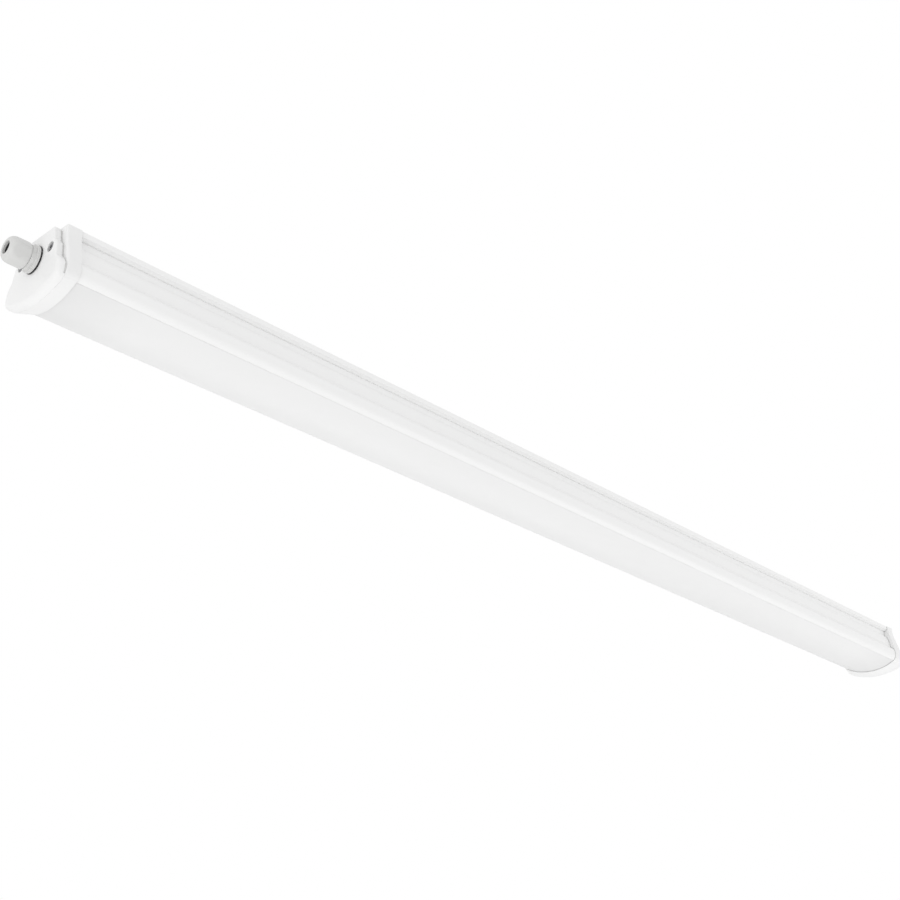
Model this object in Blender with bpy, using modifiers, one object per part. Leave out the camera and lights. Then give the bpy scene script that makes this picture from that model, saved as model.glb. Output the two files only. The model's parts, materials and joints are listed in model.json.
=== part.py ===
"""A sealed linear light for a ceiling or the underside of a cabinet, with a cable gland at one end.

Metres, +Z up to the ceiling, +X along the light from the gland to the blank end. The origin is the
middle of the flat back of the housing. A white extruded housing carries an opal diffuser, a gear tray
with the driver and the LED boards, and at each end a collar, a gasket and a screwed cover.
"""

import math

import bmesh
import bpy
from mathutils import Matrix, Vector

# Whole light
BODY_LENGTH = 1.2
BODY_DEPTH = 0.053
SEAT_GAP = 0.0003
CUT_OVERRUN = 0.002
WELD = 0.00001

# Depths below the back, and the heights of what fills the section, as shares of the whole depth
FLANGE_EDGE_SHARE = 0.087
GROOVE_TOP_SHARE = 0.106
GROOVE_BOTTOM_SHARE = 0.238
LIP_DEPTH_SHARE = 0.268
LIP_INNER_DEPTH_SHARE = 0.266
SIDE_TOP_DEPTH_SHARE = 0.34
SIDE_LOW_DEPTH_SHARE = 0.491
CHEEK_DEPTH_SHARE = 0.642
SHOULDER_DEPTH_SHARE = 0.732
TRAY_DEPTH_SHARE = 0.511
OPENING_BOTTOM_SHARE = 0.717
WAIST_LOW_DEPTH_SHARE = 0.249
MIDDLE_DEPTH_SHARE = 0.362
MIDDLE_LOW_DEPTH_SHARE = 0.547
FLUSH_DEPTH_SHARE = 0.698
SKIRT_START_SHARE = 0.84
SKIRT_FULL_SHARE = 0.92
SCREW_DEPTH_SHARE = 0.364
GLAND_DEPTH_SHARE = 0.419
DRIVER_HEIGHT_SHARE = 0.37
TERMINAL_HEIGHT_SHARE = 0.26

# Housing section: half widths, and depths below the back
WALL = 0.002
FLANGE_HALF = 0.0273
FLANGE_EDGE = BODY_DEPTH * FLANGE_EDGE_SHARE
EDGE_ROUND = 0.0008
GROOVE_HALF = 0.0233
GROOVE_TOP = BODY_DEPTH * GROOVE_TOP_SHARE
GROOVE_BOTTOM = BODY_DEPTH * GROOVE_BOTTOM_SHARE
LIP_HALF = 0.0262
LIP_DEPTH = BODY_DEPTH * LIP_DEPTH_SHARE
LIP_INNER_DEPTH = BODY_DEPTH * LIP_INNER_DEPTH_SHARE
SIDE_TOP_HALF = 0.0278
SIDE_TOP_DEPTH = BODY_DEPTH * SIDE_TOP_DEPTH_SHARE
SIDE_LOW_HALF = 0.0294
SIDE_LOW_DEPTH = BODY_DEPTH * SIDE_LOW_DEPTH_SHARE
HOLLOW_ROUND = 0.003
CHEEK_HALF = 0.035
CHEEK_DEPTH = BODY_DEPTH * CHEEK_DEPTH_SHARE
CHEEK_ROUND = 0.004
SHOULDER_DEPTH = BODY_DEPTH * SHOULDER_DEPTH_SHARE
SHOULDER_ROUND = 0.0072
HOLLOW_TURN_DEG = 55
SHOULDER_TURN_DEG = 76

# Slots for the gear tray
TRAY_DEPTH = BODY_DEPTH * TRAY_DEPTH_SHARE
TRAY_SHEET = 0.0012
TRAY_HALF = 0.027
TRAY_END_GAP = 0.001
TRAY_RIB_SPACING = 0.043
TRAY_RIB_WIDTH = 0.001
TRAY_RIB_HEIGHT = 0.0028
SLOT_RIB = 0.001
SLOT_RIB_HALF = 0.0253

# Diffuser
DIFFUSER_WALL = 0.0016
LEG_THICKNESS = 0.0013
BARB = 0.001
BARB_LOW_DEG = 40
BARB_HIGH_DEG = 32
CATCH_GAP_DEG = 6
LEG_TOP_DEG = 14
LEG_ROOT_DEG = 84

# Collar at each end
COLLAR_LENGTH = 0.012
COLLAR_MARGIN = 0.0012
CAP_MARGIN = 0.0035
COLLAR_TOP_HALF = 0.0286
COLLAR_ROUND = 0.0012
COLLAR_TOP_EDGE = 0.0008
COLLAR_EDGE = 0.002
COLLAR_EDGE_DEPTH = 0.006
COLLAR_CHIN_EDGE = 0.0004
COLLAR_FRONT_WALL = 0.003
OPENING_HALF = 0.0154
OPENING_TOP = 0.005
OPENING_BOTTOM = BODY_DEPTH * OPENING_BOTTOM_SHARE
OPENING_ROUND = 0.005
BOSS_RADIUS = 0.004
BOSS_LENGTH = 0.0125
BOSS_END_WALL = 0.001

# Gasket and cover
GASKET_THICKNESS = 0.0012
GASKET_INSET = 0.0004
COVER_PLATE = 0.0045
COVER_WEB = 0.0025
COVER_TOP = 0.0024
COVER_TOP_ROUND = 0.0015
WAIST_HALF = 0.0228
WAIST_LOW_HALF = 0.024
WAIST_LOW_DEPTH = BODY_DEPTH * WAIST_LOW_DEPTH_SHARE
MIDDLE_HALF = 0.0286
MIDDLE_DEPTH = BODY_DEPTH * MIDDLE_DEPTH_SHARE
MIDDLE_LOW_HALF = 0.0308
MIDDLE_LOW_DEPTH = BODY_DEPTH * MIDDLE_LOW_DEPTH_SHARE
FLUSH_DEPTH = BODY_DEPTH * FLUSH_DEPTH_SHARE
SKIRT_START = BODY_DEPTH * SKIRT_START_SHARE
SKIRT_FULL = BODY_DEPTH * SKIRT_FULL_SHARE
SKIRT_WALL = 0.0022
SKIRT_TIP = 0.0006
SKIRT_STEP = 0.0001
WAIST_EDGE = 0.0009
CHIN_EDGE = 0.0042
SPIGOT_GAP = 0.0004
SPIGOT_WALL = 0.0016
SPIGOT_REACH = 0.0043

# Cover screws, a pair at each end
SCREW_SPREAD = 0.0404
SCREW_DEPTH = BODY_DEPTH * SCREW_DEPTH_SHARE
SCREW_RADIUS = 0.002
SCREW_HEAD_RADIUS = 0.0034
SCREW_HEAD_HEIGHT = 0.0016
SCREW_LENGTH = 0.0155
SCREW_HOLE_CLEARANCE = 0.0003
SCREW_PIT_RADIUS = 0.0039
SCREW_PIT_DEPTH = 0.0033
DRIVE_RADIUS = 0.0016
DRIVE_DEPTH = 0.0009
LOBES = 6
LOBE_SHARE = 0.72
HEAD_TOP_SHARE = 0.75
HEAD_EDGE_SHARE = 0.5
WASHER_RADIUS = 0.0035
WASHER_THICKNESS = 0.0006

# Cable gland
GLAND_DEPTH = BODY_DEPTH * GLAND_DEPTH_SHARE
GLAND_SHANK_RADIUS = 0.008
GLAND_SHANK_REACH = 0.0095
GLAND_BORE = 0.006
GLAND_FLANGE_RADIUS = 0.0109
GLAND_FLANGE_THICKNESS = 0.0016
GLAND_HEX_FLATS = 0.0186
GLAND_HEX_LENGTH = 0.0032
GLAND_NECK_RADIUS = 0.0085
GLAND_NECK_LENGTH = 0.0085
FINGER_RADIUS = 0.0077
FINGER_LENGTH = 0.0035
FINGER_COUNT = 8
FINGER_SLIT = 0.0008
O_RING_RADIUS = 0.01135
O_RING_INNER = 0.0084
O_RING_THICKNESS = 0.0015
LOCKNUT_FLATS = 0.0208
LOCKNUT_THICKNESS = 0.0032
NUT_FLATS = 0.0216
NUT_CORNER_RADIUS = 0.0121
NUT_LENGTH = 0.0158
NUT_DOME = 0.0062
NUT_FACE_RADIUS = 0.0068
NUT_MOUTH = 0.005
NUT_THREAD_LENGTH = 0.008
NUT_CHAMFER = 0.0008
SEAL_BORE = 0.0037
SEAL_LENGTH = 0.0115
SEAL_RIM = 0.0012

# Driver
DRIVER_START = 0.17
DRIVER_LENGTH = 0.22
DRIVER_WIDTH = 0.036
DRIVER_HEIGHT = BODY_DEPTH * DRIVER_HEIGHT_SHARE
DRIVER_WALL = 0.0012
DRIVER_ROUND = 0.0006
LID_THICKNESS = 0.0012
LID_RIM = 0.003
TAB_LENGTH = 0.011
TAB_THICKNESS = 0.002
TAB_WIDTH = 0.014
DRIVER_SCREW_RADIUS = 0.0015
DRIVER_SCREW_HEAD = 0.0028
DRIVER_SCREW_HEAD_HEIGHT = 0.0018
CIRCUIT_THICKNESS = 0.0016
CIRCUIT_STANDOFF = 0.002
CIRCUIT_GAP = 0.001
FOOT_WIDTH = 0.006
# Share of the length and of the width where each block of the driver's circuit stands, then its own
# length, width and height as shares of the case's length, its width and the room under the lid
CIRCUIT_BLOCK_SHARES = (
    (0.12, 0.5, 0.08, 0.4, 0.7),
    (0.3, 0.45, 0.1, 0.6, 0.95),
    (0.5, 0.55, 0.12, 0.62, 0.9),
    (0.7, 0.4, 0.06, 0.35, 0.8),
    (0.86, 0.55, 0.07, 0.45, 0.75),
)

# Terminal block
TERMINAL_START = 0.04
TERMINAL_LENGTH = 0.022
TERMINAL_HEIGHT = BODY_DEPTH * TERMINAL_HEIGHT_SHARE
TERMINAL_NOSE = 0.0052
POLE_COUNT = 3
POLE_PITCH = 0.0068
POLE_WALL = 0.0012
ENTRY_RADIUS = 0.0015
ENTRY_HEIGHT = 0.0026
ENTRY_DEPTH = 0.009
BUTTON_WIDTH = 0.0044
BUTTON_HEIGHT = 0.0036
BUTTON_LENGTH = 0.0105
BUTTON_STAND = 0.0022
BUTTON_TRAVEL = 0.0015
BUTTON_TOP_WALL = 0.0016

# LED boards under the tray
BOARD_COUNT = 2
BOARD_WIDTH = 0.024
BOARD_THICKNESS = 0.0012
BOARD_END_GAP = 0.012
BOARD_JOINT_GAP = 0.004
LED_PITCH = 0.024
LED_SIZE = 0.003
LED_HEIGHT = 0.0008
RIVET_RADIUS = 0.0015
RIVET_HEAD = 0.0028
RIVET_HEAD_HEIGHT = 0.0008
RIVET_INSET = 0.05
RIVET_OFFSET = 0.0085
LINK_LENGTH = 0.014
LINK_WIDTH = 0.008
LINK_HEIGHT = 0.0022

# Wires inside
WIRE_RADIUS = 0.001
WIRE_HOLE_CLEARANCE = 0.0004
WIRE_STEP = 0.005
WIRE_SWAY = 0.0035
EARTH_SCREW_START = 0.095
EARTH_OFFSET = 0.014
LUG_THICKNESS = 0.0008
LUG_RADIUS = 0.0036
LUG_TAIL = 0.006
TRAY_HOLE_RADIUS = 0.003
OUTPUT_DROP_START = 0.018

# Facets
ROUND_SIDES = 24
SMALL_SIDES = 16
PIN_SIDES = 12
CORNER_STEPS = 3
ARC_STEPS = 5
CROWN_STEPS = 7
FLARE_STEPS = 8
SHARP_DEG = 32

HALF_LENGTH = BODY_LENGTH / 2
GASKET_START = COVER_PLATE + SEAT_GAP
COLLAR_START = GASKET_START + GASKET_THICKNESS + SEAT_GAP
COLLAR_WALL_END = COLLAR_START + COLLAR_FRONT_WALL
COLLAR_END = COLLAR_START + COLLAR_LENGTH
EXTRUSION_START = COLLAR_WALL_END + SEAT_GAP
EXTRUSION_LENGTH = BODY_LENGTH - 2 * EXTRUSION_START
TRAY_START = EXTRUSION_START + TRAY_END_GAP
TRAY_TOP = -TRAY_DEPTH
TRAY_BOTTOM = -TRAY_DEPTH - TRAY_SHEET
SCREW_HALF = SCREW_SPREAD / 2

WHITE = ("white plastic", (0.86, 0.86, 0.85), 0.35, 0.0)
OPAL = ("opal plastic", (0.9, 0.9, 0.88), 0.45, 0.0)
GREY = ("light grey plastic", (0.62, 0.62, 0.6), 0.4, 0.0)
BLACK = ("black rubber", (0.02, 0.02, 0.02), 0.7, 0.0)
SILICONE = ("grey silicone", (0.5, 0.5, 0.49), 0.6, 0.0)
STEEL = ("steel", (0.6, 0.6, 0.6), 0.3, 1.0)
ALUMINIUM = ("aluminium", (0.75, 0.75, 0.76), 0.4, 1.0)
BOARD_WHITE = ("white circuit board", (0.8, 0.8, 0.78), 0.5, 0.0)
BOARD_GREEN = ("green circuit board", (0.05, 0.2, 0.08), 0.5, 0.0)
ORANGE = ("orange plastic", (0.8, 0.3, 0.05), 0.4, 0.0)
BROWN = ("brown wire", (0.2, 0.08, 0.03), 0.5, 0.0)
BLUE = ("blue wire", (0.03, 0.15, 0.5), 0.5, 0.0)
GREEN = ("green wire", (0.1, 0.4, 0.08), 0.5, 0.0)
RED = ("red wire", (0.5, 0.03, 0.03), 0.5, 0.0)
DARK = ("black wire", (0.02, 0.02, 0.02), 0.5, 0.0)

ALONG_LIGHT = (math.pi / 2, 0, math.pi / 2)
ACROSS_LIGHT = (math.pi / 2, 0, 0)
FACING_OUT = (0, -math.pi / 2, 0)


def new_collection(name):
    collection = bpy.data.collections.new(name)
    bpy.context.scene.collection.children.link(collection)
    return collection


for old in list(bpy.data.objects):
    bpy.data.objects.remove(old, do_unlink=True)
LIGHT = new_collection("sealed_linear_light")
CUTTERS = new_collection("cutters")


def place(obj, parent=None, location=(0, 0, 0), rotation=(0, 0, 0)):
    obj.parent = parent
    obj.location = location
    obj.rotation_euler = rotation
    return obj


def part_object(name, mesh, finish):
    """A part of the light: one named object with its own material."""
    obj = bpy.data.objects.new(name, mesh)
    LIGHT.objects.link(obj)
    label, colour, roughness, metallic = finish
    material = bpy.data.materials.new(name + " " + label)
    material.use_nodes = True
    shader = material.node_tree.nodes["Principled BSDF"]
    shader.inputs["Base Color"].default_value = (*colour, 1)
    shader.inputs["Roughness"].default_value = roughness
    shader.inputs["Metallic"].default_value = metallic
    mesh.materials.clear()
    mesh.materials.append(material)
    mesh.shade_smooth()
    mesh.set_sharp_from_angle(angle=math.radians(SHARP_DEG))
    return obj


def cutter_object(name, mesh):
    obj = bpy.data.objects.new(name, mesh)
    CUTTERS.objects.link(obj)
    obj.hide_render = True
    obj.display_type = "WIRE"
    return obj


def combine(target, other, operation="DIFFERENCE"):
    modifier = target.modifiers.new(other.name, "BOOLEAN")
    modifier.operation = operation
    modifier.solver = "EXACT"
    modifier.object = other


def closed_mesh(name, bm):
    """Welds a bmesh, points its faces outwards and gives it back as a mesh."""
    bmesh.ops.remove_doubles(bm, verts=bm.verts, dist=WELD)
    bmesh.ops.recalc_face_normals(bm, faces=bm.faces)
    mesh = bpy.data.meshes.new(name)
    bm.to_mesh(mesh)
    bm.free()
    return mesh


def curve_mesh(name, curve, location=(0, 0, 0), rotation=(0, 0, 0)):
    """The welded mesh of a curve that stands at a place, in the frame of that place's parent."""
    guide = bpy.data.objects.new(name, curve)
    bpy.context.scene.collection.objects.link(guide)
    place(guide, None, location, rotation)
    bpy.context.view_layer.update()
    seen = guide.evaluated_get(bpy.context.evaluated_depsgraph_get())
    bm = bmesh.new()
    bm.from_mesh(bpy.data.meshes.new_from_object(seen))
    bm.transform(guide.matrix_world)
    bpy.data.objects.remove(guide, do_unlink=True)
    return closed_mesh(name, bm)


def flat_curve(name, outlines, thickness):
    """A filled 2D curve of the outlines, where an outline inside another is a hole."""
    curve = bpy.data.curves.new(name, "CURVE")
    curve.dimensions = "2D"
    curve.fill_mode = "BOTH"
    curve.extrude = thickness / 2
    for outline in outlines:
        spline = curve.splines.new("POLY")
        spline.points.add(len(outline) - 1)
        for point, (across, up) in zip(spline.points, outline):
            point.co = (across, up, 0, 1)
        spline.use_cyclic_u = True
    return curve


def prism_mesh(name, outlines, start, end):
    """Outlines in (y, z), extruded along x from start to end."""
    curve = flat_curve(name, outlines, end - start)
    return curve_mesh(name, curve, ((start + end) / 2, 0, 0), ALONG_LIGHT)


def cross_prism_mesh(name, outlines, middle, width):
    """Outlines in (x, z), extruded across the light, with the middle of the width at y = middle."""
    curve = flat_curve(name, outlines, width)
    return curve_mesh(name, curve, (0, middle, 0), ACROSS_LIGHT)


def box_mesh(name, low, high):
    bm = bmesh.new()
    bmesh.ops.create_cube(bm, size=1)
    size = Vector(high) - Vector(low)
    bmesh.ops.scale(bm, vec=size, verts=bm.verts)
    bmesh.ops.translate(bm, vec=Vector(low) + size / 2, verts=bm.verts)
    return closed_mesh(name, bm)


def rod_mesh(name, radius, start, end, sides=SMALL_SIDES):
    """A cylinder along local Z from start to end, half a facet round from a turned piece."""
    bm = bmesh.new()
    bmesh.ops.create_cone(
        bm, cap_ends=True, segments=sides, radius1=radius, radius2=radius, depth=end - start
    )
    bmesh.ops.rotate(bm, matrix=Matrix.Rotation(math.pi / sides, 3, "Z"), verts=bm.verts)
    bmesh.ops.translate(bm, vec=(0, 0, (start + end) / 2), verts=bm.verts)
    return closed_mesh(name, bm)


def turned_mesh(name, profile):
    """The bare profile of a turned piece: points of (radius, height), closed unless it ends on the axis."""
    mesh = bpy.data.meshes.new(name)
    verts = [(radius, 0, height) for radius, height in profile]
    edges = [(i, i + 1) for i in range(len(verts) - 1)]
    if profile[0][0] > 0:
        edges.append((len(verts) - 1, 0))
    mesh.from_pydata(verts, edges, [])
    return mesh


def turn(obj, sides=ROUND_SIDES):
    screw = obj.modifiers.new("Turn", "SCREW")
    screw.axis = "Z"
    screw.angle = 2 * math.pi
    screw.steps = sides
    screw.render_steps = sides
    screw.use_merge_vertices = True
    screw.merge_threshold = WELD
    screw.use_smooth_shade = True
    return obj


def loft_mesh(name, rings):
    """Joins rings of equal numbers of points, in order, and closes both ends."""
    bm = bmesh.new()
    rows = [[bm.verts.new(point) for point in ring] for ring in rings]
    count = len(rows[0])
    for row, following in zip(rows, rows[1:]):
        for i in range(count):
            k = (i + 1) % count
            bm.faces.new((row[i], row[k], following[k], following[i]))
    bm.faces.new(rows[0])
    bm.faces.new(rows[-1])
    return closed_mesh(name, bm)


def hex_radius(flats):
    return flats / 2 / math.cos(math.pi / 6)


def arc(centre, radius, start_deg, end_deg, steps=ARC_STEPS):
    """Points on a circle in a flat outline, both ends included."""
    points = []
    for i in range(steps + 1):
        angle = math.radians(start_deg + (end_deg - start_deg) * i / steps)
        points.append((centre[0] + radius * math.cos(angle), centre[1] + radius * math.sin(angle)))
    return points


def mirrored(half):
    """A whole outline from its half, which runs from the middle line round to the middle line."""
    other = [(-y, z) for y, z in reversed(half) if abs(y) > WELD]
    return half + other


def mix(low, high, share):
    return low + (high - low) * share


def smooth_share(share):
    share = min(max(share, 0), 1)
    return share * share * (3 - 2 * share)


def flare(y_top, z_top, y_low, z_low, steps=ARC_STEPS):
    """An S-shaped run between two half widths, without its first point."""
    points = []
    for i in range(1, steps + 1):
        share = i / steps
        points.append((mix(y_top, y_low, smooth_share(share)), mix(z_top, z_low, share)))
    return points


def offset(outline, distance):
    """A closed outline moved outwards by a distance, or by one distance for each point."""
    count = len(outline)
    distances = distance if isinstance(distance, list) else [distance] * count
    area = sum(
        a[0] * b[1] - b[0] * a[1] for a, b in zip(outline, outline[1:] + outline[:1])
    )
    side = 1 if area > 0 else -1
    moved = []
    for i, (y, z) in enumerate(outline):
        before = Vector(outline[i - 1])
        after = Vector(outline[(i + 1) % count])
        here = Vector((y, z))
        one = (here - before).normalized()
        two = (after - here).normalized()
        normal_one = Vector((one.y, -one.x)) * side
        normal_two = Vector((two.y, -two.x)) * side
        middle = (normal_one + normal_two).normalized()
        reach = distances[i] / max(middle.dot(normal_one), math.cos(math.pi / 3))
        moved.append((y + middle.x * reach, z + middle.y * reach))
    return moved


def rounded_box(half, top, bottom, radius):
    """A rectangle with round corners, centred on the middle line; top and bottom are depths."""
    corners = (
        ((half - radius, -top - radius), 90, 0),
        ((half - radius, -bottom + radius), 0, -90),
        ((-half + radius, -bottom + radius), -90, -180),
        ((-half + radius, -top - radius), -180, -270),
    )
    points = []
    for centre, start, end in corners:
        points += arc(centre, radius, start, end, CORNER_STEPS)
    return points


# Section of the extrusion
SHOULDER = (CHEEK_HALF - SHOULDER_ROUND, -SHOULDER_DEPTH)
CHEEK = (CHEEK_HALF - CHEEK_ROUND, -CHEEK_DEPTH)
HOLLOW = (SIDE_LOW_HALF + HOLLOW_ROUND, -SIDE_LOW_DEPTH)
LIP_END_Y = SHOULDER[0] + SHOULDER_ROUND * math.cos(math.radians(SHOULDER_TURN_DEG))
LIP_END_Z = SHOULDER[1] - SHOULDER_ROUND * math.sin(math.radians(SHOULDER_TURN_DEG))
CROWN_RISE = BODY_DEPTH + LIP_END_Z
CROWN_RADIUS = (LIP_END_Y**2 + CROWN_RISE**2) / (2 * CROWN_RISE)
CROWN_Z = CROWN_RADIUS - BODY_DEPTH
JOIN_DEG = math.degrees(math.atan2(CROWN_Z - SHOULDER[1], SHOULDER[0]))


def side_half(depth):
    """Half width of the housing's side wall at a depth."""
    share = (depth - SIDE_TOP_DEPTH) / (SIDE_LOW_DEPTH - SIDE_TOP_DEPTH)
    return mix(SIDE_TOP_HALF, SIDE_LOW_HALF, share)


def housing_outer():
    """From the back's corner, round the flange and the clip groove, to the end of the shoulder."""
    flange_y = FLANGE_HALF - EDGE_ROUND
    points = arc((flange_y, -EDGE_ROUND), EDGE_ROUND, 90, 0, CORNER_STEPS)
    points += arc((flange_y, -FLANGE_EDGE + EDGE_ROUND), EDGE_ROUND, 0, -90, CORNER_STEPS)
    points += [
        (GROOVE_HALF, -GROOVE_TOP),
        (GROOVE_HALF, -GROOVE_BOTTOM),
        (LIP_HALF, -LIP_DEPTH),
        (SIDE_TOP_HALF, -SIDE_TOP_DEPTH),
    ]
    points += arc(HOLLOW, HOLLOW_ROUND, 180, 180 + HOLLOW_TURN_DEG, CORNER_STEPS)
    points += arc(CHEEK, CHEEK_ROUND, HOLLOW_TURN_DEG, 0, CORNER_STEPS)
    points += arc(SHOULDER, SHOULDER_ROUND, 0, -SHOULDER_TURN_DEG)
    return points


def housing_inner():
    """From the back's inner corner, past the tray slot and the barb, to the lip."""
    slot_top = TRAY_DEPTH - SEAT_GAP
    slot_low = TRAY_DEPTH + TRAY_SHEET + SEAT_GAP
    rib_low = slot_low + SLOT_RIB
    hollow_radius = HOLLOW_ROUND + WALL
    rib_share = min((rib_low - SIDE_LOW_DEPTH) / hollow_radius, 1)
    hollow_start = min(math.degrees(math.asin(rib_share)), HOLLOW_TURN_DEG)
    inner_radius = SHOULDER_ROUND - WALL
    barb_radius = inner_radius - BARB
    points = [
        (GROOVE_HALF - WALL, -WALL),
        (GROOVE_HALF - WALL, -LIP_INNER_DEPTH),
        (SIDE_TOP_HALF - WALL, -SIDE_TOP_DEPTH),
        (side_half(slot_top - SLOT_RIB) - WALL, -slot_top + SLOT_RIB),
        (SLOT_RIB_HALF, -slot_top + SLOT_RIB),
        (SLOT_RIB_HALF, -slot_top),
        (side_half(slot_top) - WALL, -slot_top),
        (side_half(slot_low) - WALL, -slot_low),
        (SLOT_RIB_HALF, -slot_low),
        (SLOT_RIB_HALF, -rib_low),
    ]
    points += arc(HOLLOW, hollow_radius, 180 + hollow_start, 180 + HOLLOW_TURN_DEG, CORNER_STEPS)
    points += arc(CHEEK, CHEEK_ROUND - WALL, HOLLOW_TURN_DEG, 0, CORNER_STEPS)
    points += arc(SHOULDER, inner_radius, 0, -BARB_HIGH_DEG, CORNER_STEPS)
    points += arc(SHOULDER, barb_radius, -BARB_HIGH_DEG, -BARB_LOW_DEG, 1)
    points += arc(SHOULDER, inner_radius, -BARB_LOW_DEG, -SHOULDER_TURN_DEG, CORNER_STEPS)
    return points


def crown(radius, start_deg, end_deg, steps=ARC_STEPS):
    """Part of the crowned underside, from start to end, in degrees from straight down."""
    return arc((0, CROWN_Z), radius, start_deg - 90, end_deg - 90, steps)


def diffuser_half():
    """From the middle of the underside to the edge, up the snap leg and back inside."""
    edge_deg = math.degrees(math.asin((LIP_END_Y - SEAT_GAP) / CROWN_RADIUS))
    leg_radius = SHOULDER_ROUND - WALL - SEAT_GAP
    neck_radius = leg_radius - BARB
    inner_radius = neck_radius - LEG_THICKNESS
    gap_deg = math.degrees(SEAT_GAP / leg_radius)
    root_y = SHOULDER[0] + inner_radius * math.cos(math.radians(LEG_ROOT_DEG))
    inner_crown = CROWN_RADIUS - DIFFUSER_WALL
    inner_deg = math.degrees(math.asin((root_y - LEG_THICKNESS) / inner_crown))
    points = crown(CROWN_RADIUS, 0, edge_deg, CROWN_STEPS)
    neck_low = BARB_LOW_DEG + CATCH_GAP_DEG
    neck_high = BARB_HIGH_DEG - CATCH_GAP_DEG
    points += arc(SHOULDER, leg_radius, -SHOULDER_TURN_DEG - gap_deg, -neck_low, CORNER_STEPS)
    points += arc(SHOULDER, neck_radius, -neck_low, -neck_high, CORNER_STEPS)
    points += arc(SHOULDER, leg_radius, -neck_high, -LEG_TOP_DEG, 1)
    points += arc(SHOULDER, inner_radius, -LEG_TOP_DEG, -LEG_ROOT_DEG, CORNER_STEPS)
    points += crown(inner_crown, inner_deg, 0, CROWN_STEPS)
    return points


def crown_from_shoulder(margin):
    """The shoulder and the crown as one run, a margin outside the extrusion, down to the middle."""
    points = arc(SHOULDER, SHOULDER_ROUND + margin, 0, -JOIN_DEG)
    low = crown(CROWN_RADIUS + margin, 90 - JOIN_DEG, 0, CROWN_STEPS)
    return points + low[1:]


def envelope_outline():
    """The whole outside of the extrusion with its diffuser."""
    half = housing_outer()
    edge_deg = math.degrees(math.asin(LIP_END_Y / CROWN_RADIUS))
    half += crown(CROWN_RADIUS, edge_deg, 0, CROWN_STEPS)[1:]
    return mirrored(half)


def collar_outline(margin):
    """The flared outline of a collar, a margin outside the extrusion below."""
    low_half = CHEEK_HALF + margin
    corner_y = COLLAR_TOP_HALF - COLLAR_ROUND
    half = arc((corner_y, -COLLAR_ROUND), COLLAR_ROUND, 90, 0, CORNER_STEPS)
    half += flare(COLLAR_TOP_HALF, -COLLAR_ROUND, low_half, -SHOULDER_DEPTH, FLARE_STEPS)
    half += crown_from_shoulder(margin)[1:]
    return mirrored(half)


def cover_outline():
    """Drawn in beside the wiring space, in two steps, and flush with the collar below."""
    corner_y = WAIST_HALF - COVER_TOP_ROUND
    corner_z = -COVER_TOP - COVER_TOP_ROUND
    low_half = CHEEK_HALF + CAP_MARGIN
    half = arc((corner_y, corner_z), COVER_TOP_ROUND, 90, 0, CORNER_STEPS)
    half += [(WAIST_LOW_HALF, -WAIST_LOW_DEPTH)]
    half += flare(WAIST_LOW_HALF, -WAIST_LOW_DEPTH, MIDDLE_HALF, -MIDDLE_DEPTH)
    half += [(MIDDLE_LOW_HALF, -MIDDLE_LOW_DEPTH)]
    half += flare(MIDDLE_LOW_HALF, -MIDDLE_LOW_DEPTH, low_half, -FLUSH_DEPTH)
    half += crown_from_shoulder(CAP_MARGIN)
    return mirrored(half)


def skirt_walls(outline):
    """How thick the cover's skirt is at each point of an outline: nothing above the chin."""
    reach = SKIRT_FULL - SKIRT_START
    return [SKIRT_WALL * smooth_share((-z - SKIRT_START) / reach) for _, z in outline]


def skirt_outline():
    """The crescent of the cover's skirt, level with its chin and thinning out up both sides."""
    outline = cover_outline()
    walls = skirt_walls(outline)
    outer = offset(outline, -SKIRT_STEP)
    inner = offset(outline, [-wall for wall in walls])
    kept = [i for i, wall in enumerate(walls) if wall > SKIRT_TIP]
    return [outer[i] for i in kept] + [inner[i] for i in reversed(kept)]


def opening_outline(inset=0):
    return rounded_box(
        OPENING_HALF - inset, OPENING_TOP + inset, OPENING_BOTTOM - inset, OPENING_ROUND - inset
    )


def rounded_front(outline, radii, start, end, end_outline):
    """Rings from start to end: a front edge rounded by a radius for each point, then a straight taper."""
    rings = []
    for i in range(CORNER_STEPS + 1):
        angle = math.pi / 2 * (1 - i / CORNER_STEPS)
        insets = [-radius * (1 - math.cos(angle)) for radius in radii]
        depths = [start + radius * (1 - math.sin(angle)) for radius in radii]
        moved = offset(outline, insets)
        rings.append([(x, y, z) for x, (y, z) in zip(depths, moved)])
    rings.append([(end, y, z) for y, z in end_outline])
    return rings


def axis_cut(target, parent, name, radius, start, end, y, z, sides=SMALL_SIDES):
    """Drills a target along x, in the frame of its end of the light."""
    mesh = rod_mesh(name, radius, start, end, sides)
    drill = place(cutter_object(name, mesh), parent, (0, y, z), (0, math.pi / 2, 0))
    combine(target, drill)


def build_housing():
    half = housing_outer() + list(reversed(housing_inner()))
    start = -EXTRUSION_LENGTH / 2
    part_object("housing", prism_mesh("housing", [mirrored(half)], start, -start), WHITE)


def build_diffuser():
    start = -EXTRUSION_LENGTH / 2
    mesh = prism_mesh("diffuser", [mirrored(diffuser_half())], start, -start)
    part_object("diffuser", mesh, OPAL)


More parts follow.
